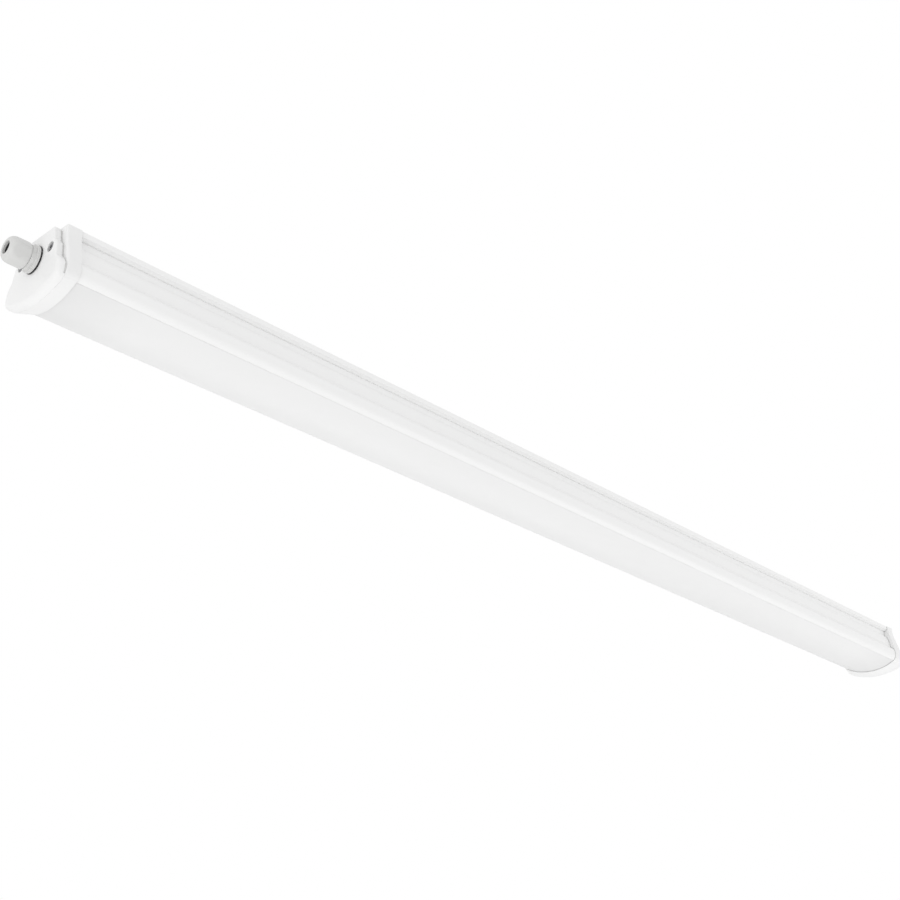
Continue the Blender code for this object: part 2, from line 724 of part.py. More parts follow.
def build_tray():
    """A flat extruded strip with two stiffening ribs, drilled for what it carries."""
    rib_out = TRAY_RIB_SPACING / 2 + TRAY_RIB_WIDTH / 2
    rib_in = rib_out - TRAY_RIB_WIDTH
    rib_top = TRAY_TOP + TRAY_RIB_HEIGHT
    half = [
        (rib_in, TRAY_TOP),
        (rib_in, rib_top),
        (rib_out, rib_top),
        (rib_out, TRAY_TOP),
        (TRAY_HALF, TRAY_TOP),
        (TRAY_HALF, TRAY_BOTTOM),
    ]
    start = -HALF_LENGTH + TRAY_START
    tray = part_object("gear_tray", prism_mesh("gear_tray", [mirrored(half)], start, -start), ALUMINIUM)
    holes = [(x, 0, DRIVER_SCREW_RADIUS) for x in driver_screw_places()]
    holes += [(x, y, RIVET_RADIUS) for x, y in rivet_places()]
    holes.append((earth_place()[0], earth_place()[1], DRIVER_SCREW_RADIUS))
    for i, (x, y, radius) in enumerate(holes):
        reach = radius + SEAT_GAP
        mesh = rod_mesh("tray_hole", reach, TRAY_BOTTOM - CUT_OVERRUN, TRAY_TOP + CUT_OVERRUN)
        combine(tray, place(cutter_object("tray_hole_%d" % i, mesh), None, (x, y, 0)))
    mesh = rod_mesh("wire_hole", TRAY_HOLE_RADIUS, TRAY_BOTTOM - CUT_OVERRUN, TRAY_TOP + CUT_OVERRUN)
    combine(tray, place(cutter_object("tray_wire_hole", mesh), None, (output_place(), 0, 0)))


def driver_ends():
    start = -HALF_LENGTH + DRIVER_START
    return start, start + DRIVER_LENGTH


def driver_screw_places():
    start, end = driver_ends()
    return start - TAB_LENGTH / 2, end + TAB_LENGTH / 2


def output_place():
    return driver_ends()[1] + TAB_LENGTH + OUTPUT_DROP_START


def earth_place():
    return -HALF_LENGTH + EARTH_SCREW_START, EARTH_OFFSET


def board_spans():
    """Where each LED board starts and ends, along the light."""
    reach = HALF_LENGTH - TRAY_START - BOARD_END_GAP
    length = (2 * reach - (BOARD_COUNT - 1) * BOARD_JOINT_GAP) / BOARD_COUNT
    spans = []
    for i in range(BOARD_COUNT):
        start = -reach + i * (length + BOARD_JOINT_GAP)
        spans.append((start, start + length))
    return spans


def rivet_places():
    places = []
    for start, end in board_spans():
        places += [(start + RIVET_INSET, RIVET_OFFSET), (end - RIVET_INSET, -RIVET_OFFSET)]
    return places


def build_led_boards():
    top = TRAY_BOTTOM - SEAT_GAP
    bottom = top - BOARD_THICKNESS
    half = BOARD_WIDTH / 2
    for number, (start, end) in enumerate(board_spans(), 1):
        name = "led_board_%d" % number
        board = part_object(name, box_mesh(name, (start, -half, bottom), (end, half, top)), BOARD_WHITE)
        count = int((end - start) / LED_PITCH)
        first = (start + end) / 2 - (count - 1) * LED_PITCH / 2
        bm = bmesh.new()
        for i in range(count):
            made = bmesh.ops.create_cube(bm, size=1)["verts"]
            size = Vector((LED_SIZE, LED_SIZE, LED_HEIGHT + BOARD_THICKNESS / 2))
            bmesh.ops.scale(bm, vec=size, verts=made)
            middle = (first + i * LED_PITCH, 0, bottom - LED_HEIGHT + size.z / 2)
            bmesh.ops.translate(bm, vec=middle, verts=made)
        chips = cutter_object(name + "_chips", closed_mesh(name + "_chips", bm))
        combine(board, chips, "UNION")
        for i, (x, y) in enumerate(rivet_places()):
            if start < x < end:
                reach = RIVET_RADIUS + SEAT_GAP
                mesh = rod_mesh("board_hole", reach, bottom - CUT_OVERRUN, top + CUT_OVERRUN)
                hole = place(cutter_object("%s_hole_%d" % (name, i), mesh), None, (x, y, 0))
                combine(board, hole)


def headed_pin(name, head_radius, head_height, radius, length, finish, sides=PIN_SIDES):
    """A turned rivet or screw: its head's seat at height zero, its head above and its shank below."""
    profile = [
        (0, head_height),
        (head_radius * HEAD_TOP_SHARE, head_height),
        (head_radius, head_height * HEAD_EDGE_SHARE),
        (head_radius, 0),
        (radius, 0),
        (radius, -length),
        (0, -length),
    ]
    return turn(part_object(name, turned_mesh(name, profile), finish), sides)


def build_rivets():
    board_bottom = TRAY_BOTTOM - SEAT_GAP - BOARD_THICKNESS
    length = BOARD_THICKNESS + TRAY_SHEET + 2 * SEAT_GAP + RIVET_HEAD_HEIGHT
    for number, (x, y) in enumerate(rivet_places(), 1):
        name = "board_rivet_%d" % number
        rivet = headed_pin(name, RIVET_HEAD, RIVET_HEAD_HEIGHT, RIVET_RADIUS, length, ALUMINIUM)
        place(rivet, None, (x, y, board_bottom - SEAT_GAP), (math.pi, 0, 0))


def build_board_link():
    """The plug block that bridges the joint between the two LED boards."""
    top = TRAY_BOTTOM - BOARD_THICKNESS - 2 * SEAT_GAP
    low = (-LINK_LENGTH / 2, -LINK_WIDTH / 2, top - LINK_HEIGHT)
    high = (LINK_LENGTH / 2, LINK_WIDTH / 2, top)
    link = part_object("board_link", box_mesh("board_link", low, high), WHITE)
    edges = link.modifiers.new("Edges", "BEVEL")
    edges.width = LINK_HEIGHT / 4


def build_driver():
    """A case with a pocket, a lid that drops into it, and the circuit between them."""
    start, end = driver_ends()
    half = DRIVER_WIDTH / 2
    floor = TRAY_TOP + SEAT_GAP
    top = floor + DRIVER_HEIGHT
    block = box_mesh("driver_case", (start, -half, floor), (end, half, top))
    case = part_object("driver_case", block, WHITE)
    edges = case.modifiers.new("Edges", "BEVEL")
    edges.width = DRIVER_ROUND
    for side, place_x in zip((-1, 1), driver_screw_places()):
        edge = start if side < 0 else end
        root, tip = sorted((edge - side * DRIVER_WALL / 2, edge + side * TAB_LENGTH))
        tab_low = (root, -TAB_WIDTH / 2, floor)
        tab_high = (tip, TAB_WIDTH / 2, floor + TAB_THICKNESS)
        tab = cutter_object("driver_tab_%d" % side, box_mesh("driver_tab", tab_low, tab_high))
        combine(case, tab, "UNION")
        reach = DRIVER_SCREW_RADIUS + SEAT_GAP
        mesh = rod_mesh("tab_hole", reach, floor - CUT_OVERRUN, floor + TAB_THICKNESS + CUT_OVERRUN)
        combine(case, place(cutter_object("tab_hole_%d" % side, mesh), None, (place_x, 0, 0)))
    inner = (
        (start + DRIVER_WALL, -half + DRIVER_WALL, floor + DRIVER_WALL),
        (end - DRIVER_WALL, half - DRIVER_WALL, top + CUT_OVERRUN),
    )
    pocket = cutter_object("driver_pocket", box_mesh("driver_pocket", *inner))
    combine(case, pocket)
    for number, (x, y, z) in enumerate(driver_wire_points()):
        reach = WIRE_RADIUS + WIRE_HOLE_CLEARANCE
        mesh = rod_mesh("driver_wire_hole", reach, -2 * DRIVER_WALL, 2 * DRIVER_WALL)
        hole = cutter_object("driver_wire_hole_%d" % number, mesh)
        combine(case, place(hole, None, (x, y, z), (0, math.pi / 2, 0)))

    lid_low = top + SEAT_GAP
    lid_mesh = box_mesh("driver_lid", (start, -half, lid_low), (end, half, lid_low + LID_THICKNESS))
    lid = part_object("driver_lid", lid_mesh, WHITE)
    lid_edges = lid.modifiers.new("Edges", "BEVEL")
    lid_edges.width = LID_THICKNESS / 3
    gap = DRIVER_WALL + SEAT_GAP
    rim_low = (start + gap, -half + gap, top - LID_RIM)
    rim_high = (end - gap, half - gap, lid_low + LID_THICKNESS / 2)
    combine(lid, cutter_object("lid_rim", box_mesh("lid_rim", rim_low, rim_high)), "UNION")
    wall = gap + DRIVER_WALL
    hollow_low = (start + wall, -half + wall, top - LID_RIM - CUT_OVERRUN)
    hollow_high = (end - wall, half - wall, lid_low)
    combine(lid, cutter_object("lid_hollow", box_mesh("lid_hollow", hollow_low, hollow_high)))

    reach = DRIVER_WALL + CIRCUIT_GAP
    plate_z = floor + DRIVER_WALL + CIRCUIT_STANDOFF
    plate = box_mesh(
        "driver_board",
        (start + reach, -half + reach, plate_z),
        (end - reach, half - reach, plate_z + CIRCUIT_THICKNESS),
    )
    circuit = part_object("driver_board", plate, BOARD_GREEN)
    room = top - LID_RIM - CIRCUIT_GAP - plate_z
    for i, (along, across, length, width, height) in enumerate(CIRCUIT_BLOCK_SHARES):
        x = mix(start + reach, end - reach, along)
        y = mix(-half + reach, half - reach, across)
        reach_x = (end - start) * length / 2
        reach_y = DRIVER_WIDTH * width / 2
        block_low = (x - reach_x, y - reach_y, plate_z + CIRCUIT_THICKNESS / 2)
        block_high = (x + reach_x, y + reach_y, plate_z + room * height)
        block = cutter_object("circuit_block_%d" % i, box_mesh("circuit_block", block_low, block_high))
        combine(circuit, block, "UNION")
    for side in (-1, 1):
        foot_x = mix(start, end, 1 / 2) + side * (DRIVER_LENGTH / 2 - reach - FOOT_WIDTH)
        low = (foot_x - FOOT_WIDTH / 2, -FOOT_WIDTH, floor + DRIVER_WALL + SEAT_GAP)
        high = (foot_x + FOOT_WIDTH / 2, FOOT_WIDTH, plate_z + CIRCUIT_THICKNESS / 2)
        foot = cutter_object("circuit_foot_%d" % side, box_mesh("circuit_foot", low, high))
        combine(circuit, foot, "UNION")

    length = TAB_THICKNESS + TRAY_SHEET + 2 * SEAT_GAP
    for number, x in enumerate(driver_screw_places(), 1):
        name = "driver_screw_%d" % number
        screw = headed_pin(
            name, DRIVER_SCREW_HEAD, DRIVER_SCREW_HEAD_HEIGHT, DRIVER_SCREW_RADIUS, length, STEEL
        )
        place(screw, None, (x, 0, floor + TAB_THICKNESS + SEAT_GAP))


def driver_wire_points():
    """Where the wires pass through the two end walls of the driver's case."""
    start, end = driver_ends()
    middle = TRAY_TOP + SEAT_GAP + DRIVER_HEIGHT / 2
    apart = POLE_PITCH
    points = [(start + DRIVER_WALL / 2, side * apart / 2, middle) for side in (-1, 1)]
    points += [(end - DRIVER_WALL / 2, side * apart / 2, middle) for side in (-1, 1)]
    return points


def pole_offsets():
    middle = (POLE_COUNT - 1) / 2
    return [(i - middle) * POLE_PITCH for i in range(POLE_COUNT)]


def terminal_heights():
    """The floor of the terminal block, then the middle heights of its wire entries and buttons."""
    floor = TRAY_TOP + SEAT_GAP
    entry = floor + ENTRY_HEIGHT + ENTRY_RADIUS
    button = floor + TERMINAL_HEIGHT - BUTTON_TOP_WALL - SEAT_GAP - BUTTON_HEIGHT / 2
    return floor, entry, button


def build_terminal_block():
    floor, entry, button = terminal_heights()
    front = -HALF_LENGTH + TERMINAL_START
    back = front + TERMINAL_LENGTH
    top = floor + TERMINAL_HEIGHT
    outline = [
        (front, floor),
        (back, floor),
        (back, top - POLE_WALL),
        (back - POLE_WALL, top),
        (front + TERMINAL_NOSE, top),
        (front, floor + TERMINAL_HEIGHT / 2),
    ]
    width = POLE_COUNT * POLE_PITCH + 2 * POLE_WALL
    block = part_object("terminal_block", cross_prism_mesh("terminal_block", [outline], 0, width), WHITE)
    slot_half = BUTTON_WIDTH / 2 + SEAT_GAP
    slot_rise = BUTTON_HEIGHT / 2 + SEAT_GAP
    button_front = front + TERMINAL_NOSE / 2 - BUTTON_STAND
    slot_end = button_front + BUTTON_LENGTH + BUTTON_TRAVEL + SEAT_GAP
    for number, y in enumerate(pole_offsets(), 1):
        low = (front - CUT_OVERRUN, y - slot_half, button - slot_rise)
        high = (slot_end, y + slot_half, button + slot_rise)
        slot = cutter_object("button_slot_%d" % number, box_mesh("button_slot", low, high))
        combine(block, slot)
        mesh = rod_mesh("wire_entry", ENTRY_RADIUS, -CUT_OVERRUN, ENTRY_DEPTH)
        inlet = cutter_object("wire_entry_%d" % number, mesh)
        combine(block, place(inlet, None, (front, y, entry), (0, math.pi / 2, 0)))
        reach = WIRE_RADIUS + WIRE_HOLE_CLEARANCE
        mesh = rod_mesh("wire_outlet", reach, -ENTRY_DEPTH / 2, CUT_OVERRUN)
        outlet = cutter_object("wire_outlet_%d" % number, mesh)
        combine(block, place(outlet, None, (back, y, entry), (0, math.pi / 2, 0)))
        half = Vector((BUTTON_LENGTH, BUTTON_WIDTH, BUTTON_HEIGHT)) / 2
        name = "terminal_button_%d" % number
        key = part_object(name, box_mesh(name, -half, half), ORANGE)
        bevel = key.modifiers.new("Edges", "BEVEL")
        bevel.width = SEAT_GAP
        place(key, None, (button_front + half.x, y, button))


def smooth_route(points):
    """Points every few millimetres on a smooth curve through the route's own points."""
    knots = [Vector(p) for p in points]
    knots = [knots[0] * 2 - knots[1]] + knots + [knots[-1] * 2 - knots[-2]]
    route = []
    for a, b, c, d in zip(knots, knots[1:], knots[2:], knots[3:]):
        steps = max(int((c - b).length / WIRE_STEP), 2)
        for i in range(steps):
            t = i / steps
            linear = (c - a) * t
            square = (a * 2 - b * 5 + c * 4 - d) * t**2
            cube = (b * 3 - a - c * 3 + d) * t**3
            route.append(b + (linear + square + cube) / 2)
    route.append(knots[-2])
    return route


def build_wire(name, points, finish):
    curve = bpy.data.curves.new(name, "CURVE")
    curve.dimensions = "3D"
    curve.bevel_depth = WIRE_RADIUS
    curve.bevel_resolution = 2
    curve.use_fill_caps = True
    route = smooth_route(points)
    spline = curve.splines.new("POLY")
    spline.points.add(len(route) - 1)
    for point, place_on_route in zip(spline.points, route):
        point.co = (*place_on_route, 1)
    part_object(name, curve_mesh(name, curve), finish)


def build_wires():
    entry = terminal_heights()[1]
    back = -HALF_LENGTH + TERMINAL_START + TERMINAL_LENGTH
    start = driver_ends()[0]
    end = driver_ends()[1]
    holes = driver_wire_points()
    offsets = pole_offsets()
    middle = (back + start) / 2
    inside = 2 * DRIVER_WALL
    lead = 4 * WIRE_RADIUS
    for name, y, hole, side, finish in (
        ("wire_live", offsets[0], holes[0], -1, BROWN),
        ("wire_neutral", offsets[1], holes[1], 1, BLUE),
    ):
        points = [
            (back - inside, y, entry),
            (back + lead, y, entry),
            (middle, mix(y, hole[1], 1 / 2) + side * WIRE_SWAY / 2, mix(entry, hole[2], 1 / 2)),
            (start - TAB_LENGTH - lead, hole[1], hole[2]),
            (start + inside, hole[1], hole[2]),
        ]
        build_wire(name, points, finish)
    earth_x, earth_y = earth_place()
    lug_z = TRAY_TOP + SEAT_GAP + LUG_THICKNESS / 2
    lug_back = earth_x - LUG_RADIUS - LUG_TAIL
    points = [
        (back - inside, offsets[2], entry),
        (back + lead, offsets[2], entry),
        (
            mix(back, lug_back, 1 / 2),
            mix(offsets[2], earth_y, 1 / 2),
            mix(entry, lug_z, 1 / 2) + WIRE_SWAY / 2,
        ),
        (lug_back - lead, earth_y, lug_z + WIRE_RADIUS),
        (lug_back - SEAT_GAP, earth_y, lug_z + WIRE_RADIUS),
    ]
    build_wire("wire_earth", points, GREEN)
    drop = output_place()
    pad = TRAY_BOTTOM
    for name, hole, side, finish in (
        ("wire_output_plus", holes[2], -1, RED),
        ("wire_output_minus", holes[3], 1, DARK),
    ):
        y = side * TRAY_HOLE_RADIUS / 2
        points = [
            (end - inside, hole[1], hole[2]),
            (end + TAB_LENGTH / 2, hole[1], hole[2]),
            (drop - lead, mix(hole[1], y, 1 / 2), hole[2]),
            (drop, y, mix(TRAY_TOP, hole[2], 1 / 2)),
            (drop, y, pad),
        ]
        build_wire(name, points, finish)


def build_earth_point():
    """A crimped lug on the tray, held by its screw."""
    x, y = earth_place()
    low = TRAY_TOP + SEAT_GAP
    top = low + LUG_THICKNESS
    lug = part_object("earth_lug", rod_mesh("earth_lug", LUG_RADIUS, low, top), STEEL)
    place(lug, None, (x, y, 0))
    tail = box_mesh(
        "lug_tail",
        (-LUG_RADIUS - LUG_TAIL, -WIRE_RADIUS, low),
        (-LUG_RADIUS / 2, WIRE_RADIUS, top),
    )
    combine(lug, place(cutter_object("lug_tail", tail), None, (x, y, 0)), "UNION")
    reach = DRIVER_SCREW_RADIUS + SEAT_GAP
    hole = rod_mesh("lug_hole", reach, low - CUT_OVERRUN, top + CUT_OVERRUN)
    combine(lug, place(cutter_object("lug_hole", hole), None, (x, y, 0)))
    length = LUG_THICKNESS + TRAY_SHEET + 2 * SEAT_GAP
    screw = headed_pin(
        "earth_screw", DRIVER_SCREW_HEAD, DRIVER_SCREW_HEAD_HEIGHT, DRIVER_SCREW_RADIUS, length, STEEL
    )
    place(screw, None, (x, y, top + SEAT_GAP))


def build_collar(name, end):
    """The moulded frame glued round the end of the extrusion, with its screw bosses."""
    outline = collar_outline(CAP_MARGIN)
    radii = []
    for _, z in outline:
        share = smooth_share((-z - COLLAR_ROUND) / (COLLAR_EDGE_DEPTH - COLLAR_ROUND))
        low_share = smooth_share((-z - SHOULDER_DEPTH) / (SKIRT_FULL - SHOULDER_DEPTH))
        radii.append(mix(mix(COLLAR_TOP_EDGE, COLLAR_EDGE, share), COLLAR_CHIN_EDGE, low_share))
    end_outline = collar_outline(COLLAR_MARGIN)
    rings = rounded_front(outline, radii, COLLAR_START, COLLAR_END, end_outline)
    collar = place(part_object(name, loft_mesh(name, rings), WHITE), end)
    socket_outline = offset(envelope_outline(), SEAT_GAP)
    socket = prism_mesh(name + "_socket", [socket_outline], COLLAR_WALL_END, COLLAR_END + CUT_OVERRUN)
    combine(collar, place(cutter_object(name + "_socket", socket), end))
    hole = prism_mesh(
        name + "_opening",
        [opening_outline()],
        COLLAR_START - CUT_OVERRUN,
        COLLAR_WALL_END + CUT_OVERRUN,
    )
    combine(collar, place(cutter_object(name + "_opening", hole), end))
    for side in (-1, 1):
        label = "%s_boss_%d" % (name, side)
        start = COLLAR_WALL_END - COLLAR_FRONT_WALL / 2
        boss = rod_mesh(label, BOSS_RADIUS, start, COLLAR_WALL_END + BOSS_LENGTH)
        seat = (0, side * SCREW_HALF, -SCREW_DEPTH)
        combine(collar, place(cutter_object(label, boss), end, seat, (0, math.pi / 2, 0)), "UNION")
        axis_cut(
            collar,
            end,
            label + "_bore",
            SCREW_RADIUS + SCREW_HOLE_CLEARANCE,
            COLLAR_START - CUT_OVERRUN,
            COLLAR_WALL_END + BOSS_LENGTH - BOSS_END_WALL,
            seat[1],
            seat[2],
        )


def build_gasket(name, end):
    outline = cover_outline()
    low_inset = SKIRT_WALL + SEAT_GAP
    insets = [-mix(GASKET_INSET, low_inset, wall / SKIRT_WALL) for wall in skirt_walls(outline)]
    outlines = [offset(outline, insets), opening_outline()]
    mesh = prism_mesh(name, outlines, GASKET_START, GASKET_START + GASKET_THICKNESS)
    gasket = place(part_object(name, mesh, SILICONE), end)
    for side in (-1, 1):
        axis_cut(
            gasket,
            end,
            "%s_hole_%d" % (name, side),
            SCREW_RADIUS + SCREW_HOLE_CLEARANCE,
            GASKET_START - CUT_OVERRUN,
            GASKET_START + GASKET_THICKNESS + CUT_OVERRUN,
            side * SCREW_HALF,
            -SCREW_DEPTH,
        )


def build_cover(name, end, has_gland):
    """The end cover: a drawn-in waist, a soft chin with a skirt over the gasket, a spigot behind."""
    outline = cover_outline()
    radii = []
    for _, z in outline:
        share = smooth_share((-z - MIDDLE_LOW_DEPTH) / (FLUSH_DEPTH - MIDDLE_LOW_DEPTH))
        radii.append(mix(WAIST_EDGE, CHIN_EDGE, share))
    rings = rounded_front(outline, radii, 0, COVER_PLATE, outline)
    cover = place(part_object(name, loft_mesh(name, rings), WHITE), end)
    skirt_start = mix(CHIN_EDGE, COVER_PLATE, 1 / 2)
    skirt = prism_mesh(name + "_skirt", [skirt_outline()], skirt_start, COLLAR_START - SEAT_GAP)
    combine(cover, place(cutter_object(name + "_skirt", skirt), end), "UNION")
    spigot_end = COVER_PLATE + SPIGOT_REACH
    spigot = prism_mesh(name + "_spigot", [opening_outline(SPIGOT_GAP)], COVER_WEB, spigot_end)
    combine(cover, place(cutter_object(name + "_spigot", spigot), end), "UNION")
    pocket = prism_mesh(
        name + "_pocket",
        [opening_outline(SPIGOT_GAP + SPIGOT_WALL)],
        COVER_WEB,
        spigot_end + CUT_OVERRUN,
    )
    combine(cover, place(cutter_object(name + "_pocket", pocket), end))
    for side in (-1, 1):
        label = "%s_screw_%d" % (name, side)
        y = side * SCREW_HALF
        pit = label + "_pit"
        depths = (-CUT_OVERRUN, SCREW_PIT_DEPTH)
        axis_cut(cover, end, pit, SCREW_PIT_RADIUS, *depths, y, -SCREW_DEPTH, ROUND_SIDES)
        hole = SCREW_RADIUS + SCREW_HOLE_CLEARANCE
        axis_cut(cover, end, label + "_hole", hole, 0, COVER_PLATE + CUT_OVERRUN, y, -SCREW_DEPTH)
    if has_gland:
        hole = GLAND_SHANK_RADIUS + SEAT_GAP
        axis_cut(
            cover, end, name + "_gland_hole", hole, -CUT_OVERRUN, COVER_PLATE, 0, -GLAND_DEPTH, ROUND_SIDES
        )


def build_cover_screw(name, end, side):
    """A pan-head screw with a six-lobed drive, and the sealing washer under its head."""
    washer_face = SCREW_PIT_DEPTH - SEAT_GAP - WASHER_THICKNESS
    head_seat = washer_face - SEAT_GAP
    screw = headed_pin(
        name, SCREW_HEAD_RADIUS, SCREW_HEAD_HEIGHT, SCREW_RADIUS, SCREW_LENGTH, STEEL, SMALL_SIDES
    )
    y = side * SCREW_HALF
    place(screw, end, (head_seat, y, -SCREW_DEPTH), FACING_OUT)
    recess = cutter_object(name + "_drive", star_mesh(name + "_drive"))
    combine(screw, place(recess, end, (head_seat - SCREW_HEAD_HEIGHT, y, -SCREW_DEPTH), FACING_OUT))
    profile = [
        (WASHER_RADIUS, WASHER_THICKNESS),
        (WASHER_RADIUS, 0),
        (SCREW_RADIUS + SCREW_HOLE_CLEARANCE, 0),
        (SCREW_RADIUS + SCREW_HOLE_CLEARANCE, WASHER_THICKNESS),
    ]
    label = name + "_washer"
    washer = turn(part_object(label, turned_mesh(label, profile), BLACK), SMALL_SIDES)
    place(washer, end, (washer_face + WASHER_THICKNESS, y, -SCREW_DEPTH), FACING_OUT)


def star_mesh(name):
    """A six-lobed recess, as deep below height zero as the overrun above it."""
    outline = []
    for i in range(2 * LOBES):
        angle = math.pi * i / LOBES
        radius = DRIVE_RADIUS if i % 2 == 0 else DRIVE_RADIUS * LOBE_SHARE
        outline.append((radius * math.cos(angle), radius * math.sin(angle)))
    return curve_mesh(name, flat_curve(name, [outline], 2 * DRIVE_DEPTH))


def gland_stations():
    """Distances out from the cover's face: the O-ring, flange, hexagon, neck and fingers."""
    ring = SEAT_GAP
    flange = ring + O_RING_THICKNESS + SEAT_GAP
    hexagon = flange + GLAND_FLANGE_THICKNESS
    neck = hexagon + GLAND_HEX_LENGTH
    fingers = neck + GLAND_NECK_LENGTH
    return ring, flange, hexagon, neck, fingers


def build_gland(end):
    ring, flange, hexagon, neck, fingers = gland_stations()
    tip = fingers + FINGER_LENGTH
    seat = (0, 0, -GLAND_DEPTH)

    profile = [
        (0, tip),
        (FINGER_RADIUS, tip),
        (GLAND_NECK_RADIUS, fingers),
        (GLAND_NECK_RADIUS, hexagon),
        (GLAND_FLANGE_RADIUS, hexagon),
        (GLAND_FLANGE_RADIUS, flange),
        (GLAND_SHANK_RADIUS, flange),
        (GLAND_SHANK_RADIUS, -GLAND_SHANK_REACH),
        (0, -GLAND_SHANK_REACH),
    ]
    body = turn(part_object("gland_body", turned_mesh("gland_body", profile), GREY))
    place(body, end, seat, FACING_OUT)
    grip_start = hexagon - GLAND_FLANGE_THICKNESS / 2
    nut_seat = rod_mesh("gland_hexagon", hex_radius(GLAND_HEX_FLATS), grip_start, neck, 6)
    combine(body, place(cutter_object("gland_hexagon", nut_seat), end, seat, FACING_OUT), "UNION")
    bore = rod_mesh(
        "gland_bore", GLAND_BORE, -GLAND_SHANK_REACH - CUT_OVERRUN, tip + CUT_OVERRUN, ROUND_SIDES
    )
    combine(body, place(cutter_object("gland_bore", bore), end, seat, FACING_OUT))
    slit_low = Vector((-GLAND_FLANGE_RADIUS, -FINGER_SLIT / 2, fingers + SEAT_GAP))
    slit_high = Vector((GLAND_FLANGE_RADIUS, FINGER_SLIT / 2, tip + CUT_OVERRUN))
    for i in range(FINGER_COUNT // 2):
        slit = cutter_object("finger_slit_%d" % i, box_mesh("finger_slit", slit_low, slit_high))
        carrier = gland_turn(end, seat, math.pi * i / (FINGER_COUNT // 2))
        combine(body, place(slit, carrier))

    profile = [
        (O_RING_RADIUS, ring + O_RING_THICKNESS),
        (O_RING_RADIUS, ring),
        (O_RING_INNER, ring),
        (O_RING_INNER, ring + O_RING_THICKNESS),
    ]
    o_ring = turn(part_object("gland_o_ring", turned_mesh("gland_o_ring", profile), BLACK))
    place(o_ring, end, seat, FACING_OUT)

    low = -COVER_WEB - SEAT_GAP - LOCKNUT_THICKNESS
    mesh = rod_mesh("gland_locknut", hex_radius(LOCKNUT_FLATS), low, low + LOCKNUT_THICKNESS, 6)
    locknut = place(part_object("gland_locknut", mesh, GREY), gland_turn(end, seat, math.pi / 6))
    thread = rod_mesh(
        "locknut_thread",
        GLAND_SHANK_RADIUS + SEAT_GAP,
        low - CUT_OVERRUN,
        low + LOCKNUT_THICKNESS + CUT_OVERRUN,
        ROUND_SIDES,
    )
    combine(locknut, place(cutter_object("locknut_thread", thread), end, seat, FACING_OUT))

    seal_outer = GLAND_BORE - SEAT_GAP
    seal_low = tip + SEAT_GAP + SEAL_RIM - SEAL_LENGTH
    profile = [
        (FINGER_RADIUS - SEAT_GAP, tip + SEAT_GAP + SEAL_RIM),
        (FINGER_RADIUS - SEAT_GAP, tip + SEAT_GAP),
        (seal_outer, tip + SEAT_GAP),
        (seal_outer, seal_low),
        (SEAL_BORE, seal_low),
        (SEAL_BORE, tip + SEAT_GAP + SEAL_RIM),
    ]
    seal = turn(part_object("gland_seal", turned_mesh("gland_seal", profile), BLACK))
    place(seal, end, seat, FACING_OUT)

    build_gland_nut(end, seat, neck + SEAT_GAP, tip + SEAT_GAP + SEAL_RIM)


def gland_turn(end, seat, angle):
    """An empty on the gland's axis, turned about it."""
    carrier = bpy.data.objects.new("gland_turn", None)
    CUTTERS.objects.link(carrier)
    outward = bpy.data.objects.new("gland_axis", None)
    CUTTERS.objects.link(outward)
    place(outward, end, seat, FACING_OUT)
    return place(carrier, outward, (0, 0, 0), (0, 0, angle))


def build_gland_nut(end, seat, start, seal_face):
    """The dome nut: a hexagon with a domed nose, hollow round the neck, fingers and seal."""
    face = start + NUT_LENGTH
    dome_start = face - NUT_DOME
    bore = GLAND_NECK_RADIUS + SEAT_GAP
    shelf = seal_face + SEAT_GAP
    outer = [(NUT_FACE_RADIUS, face)]
    for i in range(1, ARC_STEPS):
        share = i / ARC_STEPS
        angle = math.pi / 2 * share
        radius = mix(NUT_FACE_RADIUS, NUT_CORNER_RADIUS, math.sin(angle))
        outer.append((radius, mix(dome_start, face, math.cos(angle))))
    outer += [
        (NUT_CORNER_RADIUS, dome_start),
        (NUT_CORNER_RADIUS, start + NUT_CHAMFER),
        (NUT_CORNER_RADIUS - NUT_CHAMFER, start),
    ]
    inner = [
        (bore, start),
        (bore, start + NUT_THREAD_LENGTH + SEAT_GAP),
        (FINGER_RADIUS + SEAT_GAP, shelf - SEAL_RIM),
        (FINGER_RADIUS + SEAT_GAP, shelf),
        (NUT_MOUTH, shelf),
        (NUT_MOUTH, face),
    ]
    nut = turn(part_object("gland_dome_nut", turned_mesh("gland_dome_nut", outer + inner), GREY))
    place(nut, end, seat, FACING_OUT)
    mesh = rod_mesh("nut_hexagon", hex_radius(NUT_FLATS), start - CUT_OVERRUN, face + CUT_OVERRUN, 6)
    combine(nut, place(cutter_object("nut_hexagon", mesh), end, seat, FACING_OUT), "INTERSECT")


def build_end(label, x, turn_angle, has_gland):
    """Everything at one end, in a frame whose X points into the light from the cover's face."""
    end = bpy.data.objects.new(label + "_end", None)
    LIGHT.objects.link(end)
    place(end, None, (x, 0, 0), (0, 0, turn_angle))
    build_collar(label + "_collar", end)
    build_gasket(label + "_gasket", end)
    build_cover(label + "_cover", end, has_gland)
    for number, side in enumerate((-1, 1), 1):
        build_cover_screw("%s_screw_%d" % (label, number), end, side)
    if has_gland:
        build_gland(end)


def main():
    build_housing()
    build_diffuser()
    build_tray()
    build_led_boards()
    build_rivets()
    build_board_link()
    build_driver()
    build_terminal_block()
    build_wires()
    build_earth_point()
    build_end("near", -HALF_LENGTH, 0, True)
    build_end("far", HALF_LENGTH, math.pi, False)


main()
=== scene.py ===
"""Looks of the sealed linear light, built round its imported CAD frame.

Lengths are in metres. The pieces of an end are made in that end's own frame: x runs inwards from
the face of the end cover, y across the light and z up from the flat back, so that whatever lies
below the back has a negative z. NEAR and FAR put them at their ends of the light.
"""

import json
import math

import bmesh
import bpy
from mathutils import Matrix, Vector


